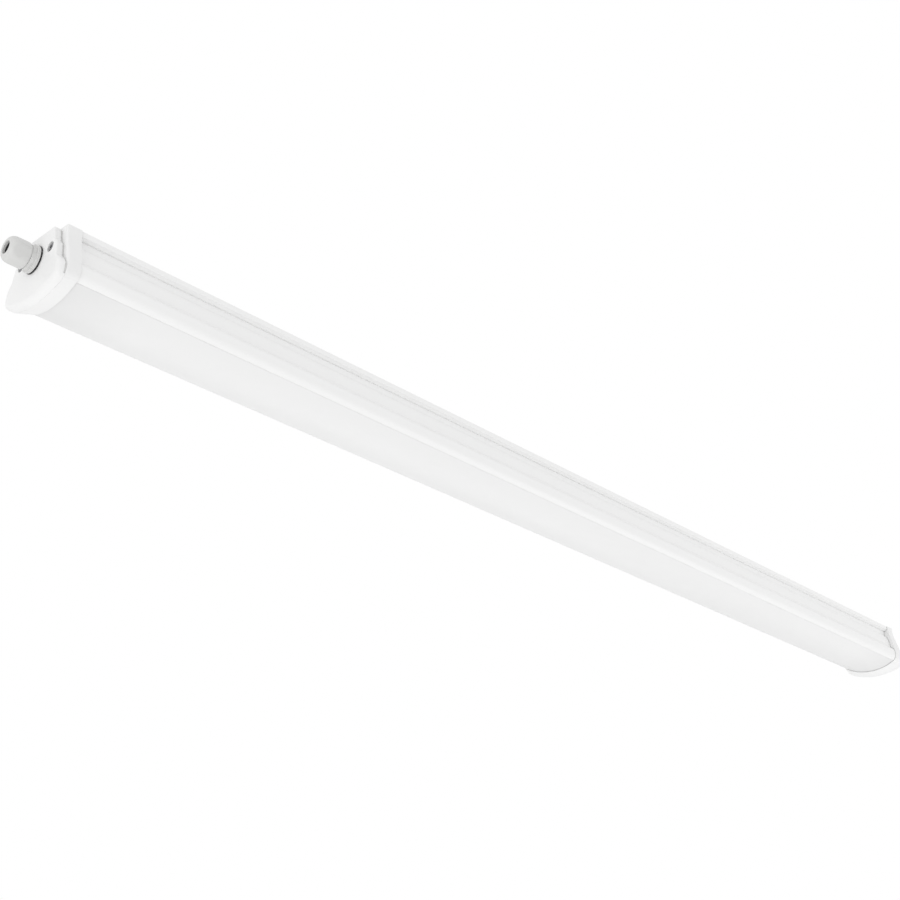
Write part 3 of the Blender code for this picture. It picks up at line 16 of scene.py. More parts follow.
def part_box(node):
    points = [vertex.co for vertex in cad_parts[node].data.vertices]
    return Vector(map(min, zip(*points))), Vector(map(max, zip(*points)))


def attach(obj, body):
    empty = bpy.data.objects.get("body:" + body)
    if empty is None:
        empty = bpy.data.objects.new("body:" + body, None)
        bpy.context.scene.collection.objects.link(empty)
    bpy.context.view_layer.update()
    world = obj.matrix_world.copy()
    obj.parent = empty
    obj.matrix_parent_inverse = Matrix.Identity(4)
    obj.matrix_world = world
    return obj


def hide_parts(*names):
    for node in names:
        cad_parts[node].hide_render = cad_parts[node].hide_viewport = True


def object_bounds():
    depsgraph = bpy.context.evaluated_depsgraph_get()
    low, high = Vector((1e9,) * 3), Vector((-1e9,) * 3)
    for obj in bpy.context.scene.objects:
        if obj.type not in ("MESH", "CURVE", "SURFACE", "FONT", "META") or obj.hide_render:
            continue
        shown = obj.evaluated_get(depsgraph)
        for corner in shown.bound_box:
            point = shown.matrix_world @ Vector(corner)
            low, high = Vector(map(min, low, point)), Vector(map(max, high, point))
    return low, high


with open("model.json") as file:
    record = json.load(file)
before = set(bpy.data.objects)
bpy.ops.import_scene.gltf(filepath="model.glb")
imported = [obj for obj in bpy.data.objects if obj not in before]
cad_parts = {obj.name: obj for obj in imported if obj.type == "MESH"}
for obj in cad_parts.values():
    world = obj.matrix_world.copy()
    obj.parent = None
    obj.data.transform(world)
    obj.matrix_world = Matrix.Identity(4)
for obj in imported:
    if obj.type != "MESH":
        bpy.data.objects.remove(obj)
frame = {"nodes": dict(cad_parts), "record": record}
CAD_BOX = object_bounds()

# Camera of the photograph, and the floor
CAMERA_PLACE = (-0.969059, -0.799529, -0.552105)
CAMERA_TURN = (2.0130811, -0.0315220, -0.7963634)
CAMERA_LENS = 54.597
CAMERA_SENSOR = 36
CAMERA_CLIP_START = 0.05
CAMERA_CLIP_END = 60
FLOOR_DROP = 3
FLOOR_HALF = 60
FLOOR_TONE = (0.82, 0.82, 0.82)
FLOOR_ROUGHNESS = 0.9

# Whole light
HALF_LENGTH = -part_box("near_cover")[0][0]
BODY_DEPTH = 0.053
WALL = 0.002
SEAT_GAP = 0.0003
CUT_OVERRUN = 0.002
WELD = 0.000002
SOFT_EDGE = 0.00035
SOFT_EDGE_SHARE = 0.45
SOFT_TURN_DEG = 25

# Section of the extrusion
FLANGE_HALF = 0.0273
FLANGE_EDGE = 0.0048
CHAMFER_HALF = 0.0245
EDGE_ROUND = 0.0008
GROOVE_HALF = 0.0233
GROOVE_TOP = 0.0062
UNDERCUT_HALF = 0.023
UNDERCUT_DEPTH = 0.0065
GROOVE_BOTTOM = 0.0126
LIP_HALF = 0.0262
LIP_DEPTH = 0.0142
SIDE_TOP_HALF = 0.0278
SIDE_TOP_DEPTH = 0.018
SIDE_LOW_HALF = 0.0294
SIDE_LOW_DEPTH = 0.026
HOLLOW_ROUND = 0.003
CHEEK_HALF = 0.035
CHEEK_DEPTH = 0.034
CHEEK_ROUND = 0.004
SHOULDER_DEPTH = 0.0388
SHOULDER_ROUND = 0.0072
HOLLOW_TURN_DEG = 55
SHOULDER_TURN_DEG = 60
TRAY_DEPTH = 0.0271
TRAY_SHEET = 0.0012
SLOT_RIB = 0.001
SLOT_RIB_HALF = 0.0253
DIFFUSER_WALL = 0.0016
LEG_THICKNESS = 0.0013
BARB = 0.001
BARB_LOW_DEG = 40
BARB_HIGH_DEG = 32
CATCH_GAP_DEG = 6
LEG_TOP_DEG = 14
LEG_ROOT_DEG = 84

# Collars and covers
COLLAR_LENGTH = 0.012
COLLAR_MARGIN = 0.0012
CAP_MARGIN = 0.0025
SHOULDER_GAIN = 0.0024
CHIN_GAIN = 0.001
FULL_DEPTH = 0.0475
CHIN_DEPTH = 0.0555
COLLAR_TOP_HALF = 0.0286
COLLAR_ROUND = 0.0012
COLLAR_TOP_EDGE = 0.0008
COLLAR_EDGE = 0.002
COLLAR_EDGE_DEPTH = 0.006
COLLAR_CHIN_EDGE = 0.0004
COLLAR_FRONT_WALL = 0.003
OPENING_HALF = 0.0154
OPENING_TOP = 0.005
OPENING_BOTTOM = 0.038
OPENING_ROUND = 0.005
BOSS_RADIUS = 0.004
BOSS_LENGTH = 0.0125
GASKET_THICKNESS = 0.0012
GASKET_INSET = 0.0004
COVER_PLATE = 0.0045
PLATE_REACH = 0.005
COVER_WEB = 0.0025
COVER_TOP = 0.0024
COVER_TOP_ROUND = 0.0015
WAIST_HALF = 0.0219
WAIST_LOW_HALF = 0.0245
WAIST_LOW_DEPTH = 0.0132
MIDDLE_HALF = 0.0286
MIDDLE_DEPTH = 0.0192
MIDDLE_LOW_HALF = 0.0305
MIDDLE_LOW_DEPTH = 0.029
FLUSH_DEPTH = 0.0388
FLUSH_LEAN = 0.7
SKIRT_START = 0.0445
SKIRT_FULL = 0.0488
SKIRT_WALL = 0.0022
SKIRT_GAP = 0.00005
SKIRT_EASE = 0.00001
LIP_GAP = 0.00004
WAIST_EDGE = 0.0009
CHIN_EDGE = 0.0042
SPIGOT_GAP = 0.0004
SPIGOT_WALL = 0.0016
SPIGOT_REACH = 0.0043

# Cover screws
SCREW_HALF = 0.0202
SCREW_DEPTH = 0.0193
SCREW_RADIUS = 0.002
THREAD_DEPTH = 0.0004
SCREW_PITCH = 0.0018
SCREW_HEAD_RADIUS = 0.0034
SCREW_HEAD_HEIGHT = 0.0016
HEAD_FLAT_SHARE = 0.55
HEAD_RIM_SHARE = 0.3
HEAD_BEVEL_SHARE = 0.12
SCREW_LENGTH = 0.0155
SCREW_POINT = 0.003
THREAD_END_SHARE = 0.9
POINT_START_SHARE = 0.25
POINT_RADIUS_SHARE = 0.45
SCREW_HOLE_CLEARANCE = 0.0003
SCREW_PIT_RADIUS = 0.0041
SCREW_PIT_DEPTH = 0.0033
PIT_LIP = 0.00025
DRIVE_RADIUS = 0.0016
DRIVE_DEPTH = 0.0009
DRIVE_MOUTH_SHARE = 1.1
DRIVE_LIP_SHARE = 0.1
DRIVE_FLOOR_SHARE = 0.95
DRIVE_POINT_SHARE = 0.35
DRIVE_POINT_DEPTH_SHARE = 0.25
LOBES = 6
LOBE_SHARE = 0.24
WASHER_RADIUS = 0.0035
WASHER_THICKNESS = 0.0006

# Cable gland
GLAND_DEPTH = 0.0222
GLAND_SHANK_RADIUS = 0.008
GLAND_SHANK_REACH = 0.0095
GLAND_BORE = 0.006
GLAND_FLANGE_RADIUS = 0.0109
GLAND_FLANGE_THICKNESS = 0.0025
GLAND_HEX_FLATS = 0.0186
GLAND_HEX_LENGTH = 0.0032
GLAND_NECK_RADIUS = 0.0085
GLAND_NECK_LENGTH = 0.0085
GLAND_PITCH = 0.0015
FINGER_RADIUS = 0.0077
FINGER_LENGTH = 0.0035
FINGER_COUNT = 8
FINGER_SLIT = 0.0008
O_RING_RADIUS = 0.0112
O_RING_INNER = 0.0084
O_RING_THICKNESS = 0.001
RING_GAP = 0.0001
LOCKNUT_FLATS = 0.0208
LOCKNUT_THICKNESS = 0.0032
LOCKNUT_BEVEL = 0.6
NUT_FLATS = 0.0191
NUT_CORNER_RADIUS = 0.0104
NUT_LENGTH = 0.0158
NUT_DOME = 0.0062
NUT_FACE_RADIUS = 0.0061
NUT_MOUTH = 0.005
NUT_THREAD_LENGTH = 0.008
NUT_CHAMFER = 0.0008
NUT_LIP = 0.0008
NUT_TURN_DEG = 20
HEX_HALF_DEG = 30
HEX_CORNER_DEG = 7
SEAL_BORE = 0.0037
SEAL_LENGTH = 0.0115
SEAL_RIM = 0.0012

# Materials
NOISE_LOW = 0.3
NOISE_HIGH = 0.7
SHEEN_SHARES = (0.9, 1.15)
WIRE_ROUGHNESS = 0.45
BLOOM_TONE = 1.07
MARK_TONE = 0.82
MARK_SHEEN_SHARES = (0.8, 1.3)
SPANGLE_SCALE = 210
SPANGLE_TONE = 0.8
TRACK_SCALE = 55
TRACK_WIDTH = 0.03
FIELD_TONE = 1.25
OPAL_SCATTER = 0.35
OPAL_SCATTER_REACH = 0.002
# Painted shade on the diffuser near the collars: where it starts along the light, and the share of its
# colour that it keeps
COLLAR_SHADE_START = 0.52
COLLAR_SHADE_TONE = 0.92

# Sockets of a Mix node that mixes colours
MIX_SHARE = 0
MIX_LOW = 6
MIX_HIGH = 7
MIX_RESULT = 2

# Lights: each soft box has a name, a place, what it faces, a width, a height and a power
BACKDROP_STRENGTH = 1
FILLING_STRENGTH = 0.9
SOFTBOXES = (
    ("under softbox", (-0.1, 0.3, -0.8), (-0.1, 0, 0), 2.4, 1.2, 3.6),
    ("front strip", (1.4, -0.5, -1.0), (0.2, 0, 0), 2.2, 0.4, 1.5),
    ("far fill", (1.5, -1.3, -0.6), (0.5, 0, 0), 1.2, 1.0, 2.4),
    ("key softbox", (0.8, -1.4, -1.0), (0.3, 0, 0), 2.2, 1.2, 3),
    ("end softbox", (-2.2, -0.6, -0.8), (-0.6, 0, 0), 1.2, 1.2, 8),
)

# Steps of the round stretches
ARC_STEPS = 20
CORNER_STEPS = 6
CROWN_STEPS = 40
FLARE_STEPS = 18
SOFT_STEPS = 4
RING_SIDES = 120
PIN_SIDES = 64
DRIVE_SIDES = 96
THREAD_STEPS = 8
JOIN_SKIP = 3
SHARP_DEG = 34
THREAD_SHARP_DEG = 40

# Places worked out from these
GASKET_START = COVER_PLATE + SEAT_GAP
COLLAR_START = GASKET_START + GASKET_THICKNESS + SEAT_GAP
COLLAR_WALL_END = COLLAR_START + COLLAR_FRONT_WALL
COLLAR_END = COLLAR_START + COLLAR_LENGTH
EXTRUSION_START = COLLAR_WALL_END + SEAT_GAP
EXTRUSION_HALF = HALF_LENGTH - EXTRUSION_START
SCREW_HOLE = SCREW_RADIUS + SCREW_HOLE_CLEARANCE
SCREW_SEAT = SCREW_PIT_DEPTH - 2 * SEAT_GAP - WASHER_THICKNESS
FACING_IN = Matrix.Rotation(math.pi / 2, 4, "Y")
FACING_OUT = Matrix.Rotation(-math.pi / 2, 4, "Y")
NEAR = Matrix.Translation((-HALF_LENGTH, 0, 0))
FAR = Matrix.Translation((HALF_LENGTH, 0, 0)) @ Matrix.Rotation(math.pi, 4, "Z")


# Points and outlines

def mix(low, high, share):
    return low + (high - low) * share


def smooth_share(share):
    """A share from 0 to 1 that starts and ends gently."""
    share = min(max(share, 0), 1)
    return share * share * (3 - 2 * share)


def arc(centre, radius, start_deg, end_deg, steps=ARC_STEPS):
    """Points on a circle in a flat outline, both ends included."""
    points = []
    for i in range(steps + 1):
        angle = math.radians(mix(start_deg, end_deg, i / steps))
        points.append((centre[0] + radius * math.cos(angle), centre[1] + radius * math.sin(angle)))
    return points


def flare(y_top, z_top, y_low, z_low, lean=1):
    """An S-shaped run without its first point. A lean under 1 widens it early."""
    points = []
    for i in range(1, FLARE_STEPS + 1):
        share = i / FLARE_STEPS
        points.append((mix(y_top, y_low, smooth_share(share**lean)), mix(z_top, z_low, share)))
    return points


def mirrored(half):
    """A whole outline from its half, which runs from the middle line round to the middle line."""
    other = [(-y, z) for y, z in reversed(half) if abs(y) > WELD]
    return half + other


def softened(points, reach=SOFT_EDGE):
    """A closed outline whose sharp corners become short curves that start and end reach away."""
    made = []
    count = len(points)
    for i, point in enumerate(points):
        here = Vector(point)
        before = Vector(points[i - 1]) - here
        after = Vector(points[(i + 1) % count]) - here
        doubled = before.length < WELD or after.length < WELD
        if doubled or math.pi - before.angle(after) < math.radians(SOFT_TURN_DEG):
            made.append(tuple(here))
            continue
        start = here + before.normalized() * min(reach, before.length * SOFT_EDGE_SHARE)
        end = here + after.normalized() * min(reach, after.length * SOFT_EDGE_SHARE)
        for k in range(SOFT_STEPS + 1):
            share = k / SOFT_STEPS
            low = start.lerp(here, share)
            made.append(tuple(low.lerp(here.lerp(end, share), share)))
    return made


def offset(outline, distance):
    """A closed outline moved outwards by a distance, or by one distance for each point."""
    count = len(outline)
    distances = distance if isinstance(distance, list) else [distance] * count
    area = sum(a[0] * b[1] - b[0] * a[1] for a, b in zip(outline, outline[1:] + outline[:1]))
    side = 1 if area > 0 else -1
    moved = []
    for i, (y, z) in enumerate(outline):
        here = Vector((y, z))
        one = (here - Vector(outline[i - 1])).normalized()
        two = (Vector(outline[(i + 1) % count]) - here).normalized()
        normal_one = Vector((one.y, -one.x)) * side
        normal_two = Vector((two.y, -two.x)) * side
        middle = (normal_one + normal_two).normalized()
        reach = distances[i] / max(middle.dot(normal_one), math.cos(math.pi / 3))
        moved.append((y + middle.x * reach, z + middle.y * reach))
    return moved


# Outlines of the extrusion

SHOULDER = (CHEEK_HALF - SHOULDER_ROUND, -SHOULDER_DEPTH)
CHEEK = (CHEEK_HALF - CHEEK_ROUND, -CHEEK_DEPTH)
HOLLOW = (SIDE_LOW_HALF + HOLLOW_ROUND, -SIDE_LOW_DEPTH)
LIP_END_Y = SHOULDER[0] + SHOULDER_ROUND * math.cos(math.radians(SHOULDER_TURN_DEG))
LIP_END_Z = SHOULDER[1] - SHOULDER_ROUND * math.sin(math.radians(SHOULDER_TURN_DEG))
CROWN_RISE = BODY_DEPTH + LIP_END_Z
CROWN_RADIUS = (LIP_END_Y**2 + CROWN_RISE**2) / (2 * CROWN_RISE)
CROWN_Z = CROWN_RADIUS - BODY_DEPTH
JOIN_DEG = math.degrees(math.atan2(CROWN_Z - SHOULDER[1], SHOULDER[0]))


def side_half(depth):
    """Half the width of the hollow side at a depth."""
    share = (depth - SIDE_TOP_DEPTH) / (SIDE_LOW_DEPTH - SIDE_TOP_DEPTH)
    return mix(SIDE_TOP_HALF, SIDE_LOW_HALF, share)


def housing_outer(undercut=True):
    """From the back's corner, round the flange and the clip groove, to the end of the shoulder."""
    flange_y = FLANGE_HALF - EDGE_ROUND
    points = arc((flange_y, -EDGE_ROUND), EDGE_ROUND, 90, 0, CORNER_STEPS)
    points += arc((flange_y, -FLANGE_EDGE + EDGE_ROUND), EDGE_ROUND, 0, -90, CORNER_STEPS)
    points.append((CHAMFER_HALF, -GROOVE_TOP))
    if undercut:
        points += [(UNDERCUT_HALF, -GROOVE_TOP), (UNDERCUT_HALF, -UNDERCUT_DEPTH)]
    points += [
        (GROOVE_HALF, -UNDERCUT_DEPTH),
        (GROOVE_HALF, -GROOVE_BOTTOM),
        (LIP_HALF, -LIP_DEPTH),
        (SIDE_TOP_HALF, -SIDE_TOP_DEPTH),
    ]
    points += arc(HOLLOW, HOLLOW_ROUND, 180, 180 + HOLLOW_TURN_DEG)
    points += arc(CHEEK, CHEEK_ROUND, HOLLOW_TURN_DEG, 0)
    points += arc(SHOULDER, SHOULDER_ROUND, 0, -SHOULDER_TURN_DEG)
    return points


def housing_inner():
    """From the back's inner corner, past the tray slot and the barb, to the lip."""
    slot_top = TRAY_DEPTH - SEAT_GAP
    slot_low = TRAY_DEPTH + TRAY_SHEET + SEAT_GAP
    rib_low = slot_low + SLOT_RIB
    hollow_radius = HOLLOW_ROUND + WALL
    hollow_start = math.degrees(math.asin((rib_low - SIDE_LOW_DEPTH) / hollow_radius))
    inner_radius = SHOULDER_ROUND - WALL
    points = [
        (GROOVE_HALF - WALL, -WALL),
        (GROOVE_HALF - WALL, -LIP_DEPTH),
        (SIDE_TOP_HALF - WALL, -SIDE_TOP_DEPTH),
        (side_half(slot_top - SLOT_RIB) - WALL, -slot_top + SLOT_RIB),
        (SLOT_RIB_HALF, -slot_top + SLOT_RIB),
        (SLOT_RIB_HALF, -slot_top),
        (side_half(slot_top) - WALL, -slot_top),
        (side_half(slot_low) - WALL, -slot_low),
        (SLOT_RIB_HALF, -slot_low),
        (SLOT_RIB_HALF, -rib_low),
    ]
    points += arc(HOLLOW, hollow_radius, 180 + hollow_start, 180 + HOLLOW_TURN_DEG, CORNER_STEPS)
    points += arc(CHEEK, CHEEK_ROUND - WALL, HOLLOW_TURN_DEG, 0, CORNER_STEPS)
    points += arc(SHOULDER, inner_radius, 0, -BARB_HIGH_DEG, CORNER_STEPS)
    points += arc(SHOULDER, inner_radius - BARB, -BARB_HIGH_DEG, -BARB_LOW_DEG, 1)
    points += arc(SHOULDER, inner_radius, -BARB_LOW_DEG, -SHOULDER_TURN_DEG, CORNER_STEPS)
    return points


def crown(radius, start_deg, end_deg):
    """Part of the crowned underside, from start to end, in degrees from straight down."""
    return arc((0, CROWN_Z), radius, start_deg - 90, end_deg - 90, CROWN_STEPS)


def diffuser_half():
    """From the middle of the underside to the edge, up the snap leg and back inside."""
    edge_deg = math.degrees(math.asin((LIP_END_Y - LIP_GAP) / CROWN_RADIUS))
    leg_radius = SHOULDER_ROUND - WALL - SEAT_GAP
    neck_radius = leg_radius - BARB
    inner_radius = neck_radius - LEG_THICKNESS
    root_y = SHOULDER[0] + inner_radius * math.cos(math.radians(LEG_ROOT_DEG))
    inner_crown = CROWN_RADIUS - DIFFUSER_WALL
    inner_deg = math.degrees(math.asin((root_y - LEG_THICKNESS) / inner_crown))
    neck_low = BARB_LOW_DEG + CATCH_GAP_DEG
    neck_high = BARB_HIGH_DEG - CATCH_GAP_DEG
    points = crown(CROWN_RADIUS, 0, edge_deg)
    points += arc(SHOULDER, leg_radius, -SHOULDER_TURN_DEG, -neck_low, CORNER_STEPS)
    points += arc(SHOULDER, neck_radius, -neck_low, -neck_high, CORNER_STEPS)
    points += arc(SHOULDER, leg_radius, -neck_high, -LEG_TOP_DEG, CORNER_STEPS)
    points += arc(SHOULDER, inner_radius, -LEG_TOP_DEG, -LEG_ROOT_DEG, CORNER_STEPS)
    points += crown(inner_crown, inner_deg, 0)
    return points


def crown_from_shoulder(margin):
    """The shoulder and the crown as one run, a margin outside the extrusion, down to the middle."""
    points = arc(SHOULDER, SHOULDER_ROUND + margin, 0, -JOIN_DEG)
    low = crown(CROWN_RADIUS + margin, 90 - JOIN_DEG, 0)
    return points[:-JOIN_SKIP] + low[JOIN_SKIP:]


def envelope_outline():
    """The whole outside of the extrusion with its diffuser, and without the undercuts."""
    half = housing_outer(undercut=False)
    edge_deg = math.degrees(math.asin(LIP_END_Y / CROWN_RADIUS))
    half += crown(CROWN_RADIUS, edge_deg, 0)[1:]
    return mirrored(half)


# Outlines of the ends

def fuller(outline):
    """The outline where collar and cover meet: fuller at its shoulders, and a little so at the chin."""
    gains = []
    for _, z in outline:
        shoulder = smooth_share((-z - SHOULDER_DEPTH) / (FULL_DEPTH - SHOULDER_DEPTH))
        chin = smooth_share((-z - FULL_DEPTH) / (CHIN_DEPTH - FULL_DEPTH))
        gains.append(SHOULDER_GAIN * shoulder - (SHOULDER_GAIN - CHIN_GAIN) * chin)
    return offset(outline, gains)


def collar_outline(margin):
    """The flared outline of a collar, a margin outside the extrusion below."""
    low_half = CHEEK_HALF + margin
    corner_y = COLLAR_TOP_HALF - COLLAR_ROUND
    half = arc((corner_y, -COLLAR_ROUND), COLLAR_ROUND, 90, 0, CORNER_STEPS)
    half += flare(COLLAR_TOP_HALF, -COLLAR_ROUND, low_half, -SHOULDER_DEPTH)
    half += crown_from_shoulder(margin)[1:]
    return mirrored(half)


def cover_outline():
    """Drawn in beside the wiring space, in two steps, and flush with the collar below."""
    corner_y = WAIST_HALF - COVER_TOP_ROUND
    corner_z = -COVER_TOP - COVER_TOP_ROUND
    low_half = CHEEK_HALF + CAP_MARGIN
    half = arc((corner_y, corner_z), COVER_TOP_ROUND, 90, 0, CORNER_STEPS)
    half += [(WAIST_LOW_HALF, -WAIST_LOW_DEPTH)]
    half += flare(WAIST_LOW_HALF, -WAIST_LOW_DEPTH, MIDDLE_HALF, -MIDDLE_DEPTH)
    half += [(MIDDLE_LOW_HALF, -MIDDLE_LOW_DEPTH)]
    half += flare(MIDDLE_LOW_HALF, -MIDDLE_LOW_DEPTH, low_half, -FLUSH_DEPTH, FLUSH_LEAN)
    half += crown_from_shoulder(CAP_MARGIN)[1:]
    return fuller(mirrored(half))


def skirt_walls(outline):
    """How thick the cover's skirt is at each point of an outline: nothing above the chin."""
    reach = SKIRT_FULL - SKIRT_START
    return [SKIRT_WALL * smooth_share((-z - SKIRT_START) / reach) for _, z in outline]


def opening_outline(inset=0):
    """The wiring opening with its round corners, or what lies an inset inside it."""
    radius = OPENING_ROUND - inset
    y = OPENING_HALF - inset - radius
    top_z = -(OPENING_TOP + inset) - radius
    low_z = -(OPENING_BOTTOM - inset) + radius
    corners = ((y, top_z), (y, low_z), (-y, low_z), (-y, top_z))
    points = []
    for i, centre in enumerate(corners):
        points += arc(centre, radius, 90 - 90 * i, -90 * i, CORNER_STEPS * 2)
    return points


# Meshes

def placed(name, data):
    """A new object in the scene."""
    obj = bpy.data.objects.new(name, data)
    bpy.context.scene.collection.objects.link(obj)
    return obj


def finished(bm, transform=None):
    """A bmesh welded, with its faces turned outwards, and moved to its place, as a mesh."""
    bmesh.ops.remove_doubles(bm, verts=bm.verts, dist=WELD)
    bmesh.ops.recalc_face_normals(bm, faces=bm.faces)
    if transform is not None:
        bm.transform(transform)
    mesh = bpy.data.meshes.new("piece")
    bm.to_mesh(mesh)
    bm.free()
    return mesh


def join_rows(bm, pairs, count):
    """Faces between pairs of rows of vertices, where one vertex may stand for a whole row."""
    for row, following in pairs:
        for i in range(count):
            k = (i + 1) % count
            one_side = [row[i % len(row)], row[k % len(row)]]
            other_side = [following[k % len(following)], following[i % len(following)]]
            corners = list(dict.fromkeys(one_side + other_side))
            if len(corners) > 2:
                bm.faces.new(corners)


def loft(rings, transform=None):
    """Joins rings of equal numbers of points in order, and caps the first and the last."""
    bm = bmesh.new()
    rows = [[bm.verts.new(point) for point in ring] for ring in rings]
    join_rows(bm, zip(rows, rows[1:]), len(rows[0]))
    bm.faces.new(rows[0])
    bm.faces.new(rows[-1])
    return finished(bm, transform)


def prism(outline, start, end, transform=None):
    """An outline drawn straight from start to end along the light."""
    return loft([[(x, y, z) for y, z in outline] for x in (start, end)], transform)


def turned(profile, transform, sides=RING_SIDES, radius_at=None):
    """Turns a profile of (radius, height) about Z; radius_at may change a radius by its angle.

    A profile that starts on the axis ends on it too. One that doesn't is closed as a ring.
    """
    bm = bmesh.new()
    rows = []
    for radius, height in profile:
        if radius < WELD:
            rows.append([bm.verts.new((0, 0, height))])
            continue
        row = []
        for i in range(sides):
            angle = 2 * math.pi * i / sides
            reach = radius_at(radius, height, angle) if radius_at else radius
            row.append(bm.verts.new((reach * math.cos(angle), reach * math.sin(angle), height)))
        rows.append(row)
    pairs = list(zip(rows, rows[1:]))
    if profile[0][0] > WELD:
        pairs.append((rows[-1], rows[0]))
    join_rows(bm, pairs, sides)
    return finished(bm, transform)


def combined(mesh, others, operation="DIFFERENCE"):
    """A mesh after an exact Boolean with each of the others in turn."""
    made = [placed("work", mesh)]
    for other in others:
        made.append(placed("other", other))
        modifier = made[0].modifiers.new("Combine", "BOOLEAN")
        modifier.operation = operation
        modifier.solver = "EXACT"
        modifier.object = made[-1]
    seen = made[0].evaluated_get(bpy.context.evaluated_depsgraph_get())
    bm = bmesh.new()
    bm.from_mesh(bpy.data.meshes.new_from_object(seen))
    bmesh.ops.dissolve_degenerate(bm, edges=bm.edges, dist=WELD)
    result = finished(bm)
    for obj in made:
        bpy.data.objects.remove(obj, do_unlink=True)
    return result


def piece(node, mesh, material, body, sharp_deg=SHARP_DEG):
    """A visible piece: smooth shaded, with its material, on its body in place of a CAD node."""
    obj = placed(node + "_skin", mesh)
    mesh.name = obj.name
    mesh.materials.append(material)
    mesh.shade_smooth()
    mesh.set_sharp_from_angle(angle=math.radians(sharp_deg))
    weighted = obj.modifiers.new("Flat faces stay flat", "WEIGHTED_NORMAL")
    weighted.keep_sharp = True
    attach(obj, body)
    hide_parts(node)


# Materials

def new_material(name, colour, roughness, metallic=0):
    material = bpy.data.materials.new(name)
    material.use_nodes = True
    tree = material.node_tree
    shader = tree.nodes["Principled BSDF"]
    shader.inputs["Base Color"].default_value = (*colour, 1)
    shader.inputs["Roughness"].default_value = roughness
    shader.inputs["Metallic"].default_value = metallic
    return material, tree, shader


def stretched_place(tree, stretch=(1, 1, 1)):
    """Object coordinates; a first number under 1 draws marks out along the light."""
    coordinates = tree.nodes.new("ShaderNodeTexCoord")
    mapping = tree.nodes.new("ShaderNodeMapping")
    mapping.inputs["Scale"].default_value = stretch
    tree.links.new(coordinates.outputs["Object"], mapping.inputs["Vector"])
    return mapping.outputs["Vector"]


def noise_of(tree, place, scale, detail, roughness=0.5):
    """Cloudy noise, its scale in features to the metre."""
    noise = tree.nodes.new("ShaderNodeTexNoise")
    noise.inputs["Scale"].default_value = scale
    noise.inputs["Detail"].default_value = detail
    noise.inputs["Roughness"].default_value = roughness
    tree.links.new(place, noise.inputs["Vector"])
    return noise.outputs["Fac"]


def ranged(tree, value, low, high, start=NOISE_LOW, end=NOISE_HIGH):
    """Goes from low to high as the value goes from start to end."""
    spread = tree.nodes.new("ShaderNodeMapRange")
    spread.inputs["From Min"].default_value = start
    spread.inputs["From Max"].default_value = end
    spread.inputs["To Min"].default_value = low
    spread.inputs["To Max"].default_value = high
    tree.links.new(value, spread.inputs["Value"])
    return spread.outputs["Result"]


def tinted(tree, share, low, high):
    """A colour between low and high by a share; low may be another node's output."""
    blend = tree.nodes.new("ShaderNodeMix")
    blend.data_type = "RGBA"
    if isinstance(low, tuple):
        blend.inputs[MIX_LOW].default_value = (*low, 1)
    else:
        tree.links.new(low, blend.inputs[MIX_LOW])
    blend.inputs[MIX_HIGH].default_value = (*high, 1)
    tree.links.new(share, blend.inputs[MIX_SHARE])
    return blend.outputs[MIX_RESULT]


def bumped(tree, shader, height, relief):
    """Raises the surface by a relief in metres where the height is 1."""
    bump = tree.nodes.new("ShaderNodeBump")
    bump.inputs["Distance"].default_value = relief
    tree.links.new(height, bump.inputs["Height"])
    tree.links.new(bump.outputs["Normal"], shader.inputs["Normal"])


def tone(colour, share):
    return tuple(channel * share for channel in colour)


def plastic(name, colour, roughness, grain=1800, relief=0.000012, stretch=(1, 1, 1), vary=0.02):
    """Plastic with a faint cloudy tone, an uneven sheen and a fine grain."""
    material, tree, shader = new_material(name, colour, roughness)
    place = stretched_place(tree, stretch)
    cloud = ranged(tree, noise_of(tree, place, scale=14, detail=4), 0, 1)
    clouded = tinted(tree, cloud, tone(colour, 1 - vary), colour)
    tree.links.new(clouded, shader.inputs["Base Color"])
    sheen = noise_of(tree, place, scale=90, detail=5, roughness=0.6)
    low, high = [roughness * share for share in SHEEN_SHARES]
    tree.links.new(ranged(tree, sheen, low, high), shader.inputs["Roughness"])
    bumped(tree, shader, noise_of(tree, place, grain, detail=2), relief)
    return material


def rubber(name, colour):
    """Moulded rubber with a faint powdery bloom."""
    material, tree, shader = new_material(name, colour, roughness=0.62)
    place = stretched_place(tree)
    bloom = ranged(tree, noise_of(tree, place, scale=260, detail=6, roughness=0.65), 0, 1)
    bloomed = tinted(tree, bloom, colour, tone(colour, BLOOM_TONE))
    tree.links.new(bloomed, shader.inputs["Base Color"])
    uneven = ranged(tree, bloom, low=0.55, high=0.72, start=0, end=1)
    tree.links.new(uneven, shader.inputs["Roughness"])
    bumped(tree, shader, noise_of(tree, place, scale=2600, detail=2), relief=0.00001)
    return material


def metal(name, colour, roughness, grain):
    """Bright metal with fine marks that change its tone, its sheen and its surface together."""
    material, tree, shader = new_material(name, colour, roughness, metallic=1)
    marks = noise_of(tree, stretched_place(tree), grain, detail=4, roughness=0.6)
    marked = tinted(tree, ranged(tree, marks, 0, 1), tone(colour, MARK_TONE), colour)
    tree.links.new(marked, shader.inputs["Base Color"])
    low, high = [roughness * share for share in MARK_SHEEN_SHARES]
    tree.links.new(ranged(tree, marks, low, high), shader.inputs["Roughness"])
    bumped(tree, shader, marks, relief=0.00001)
    return material


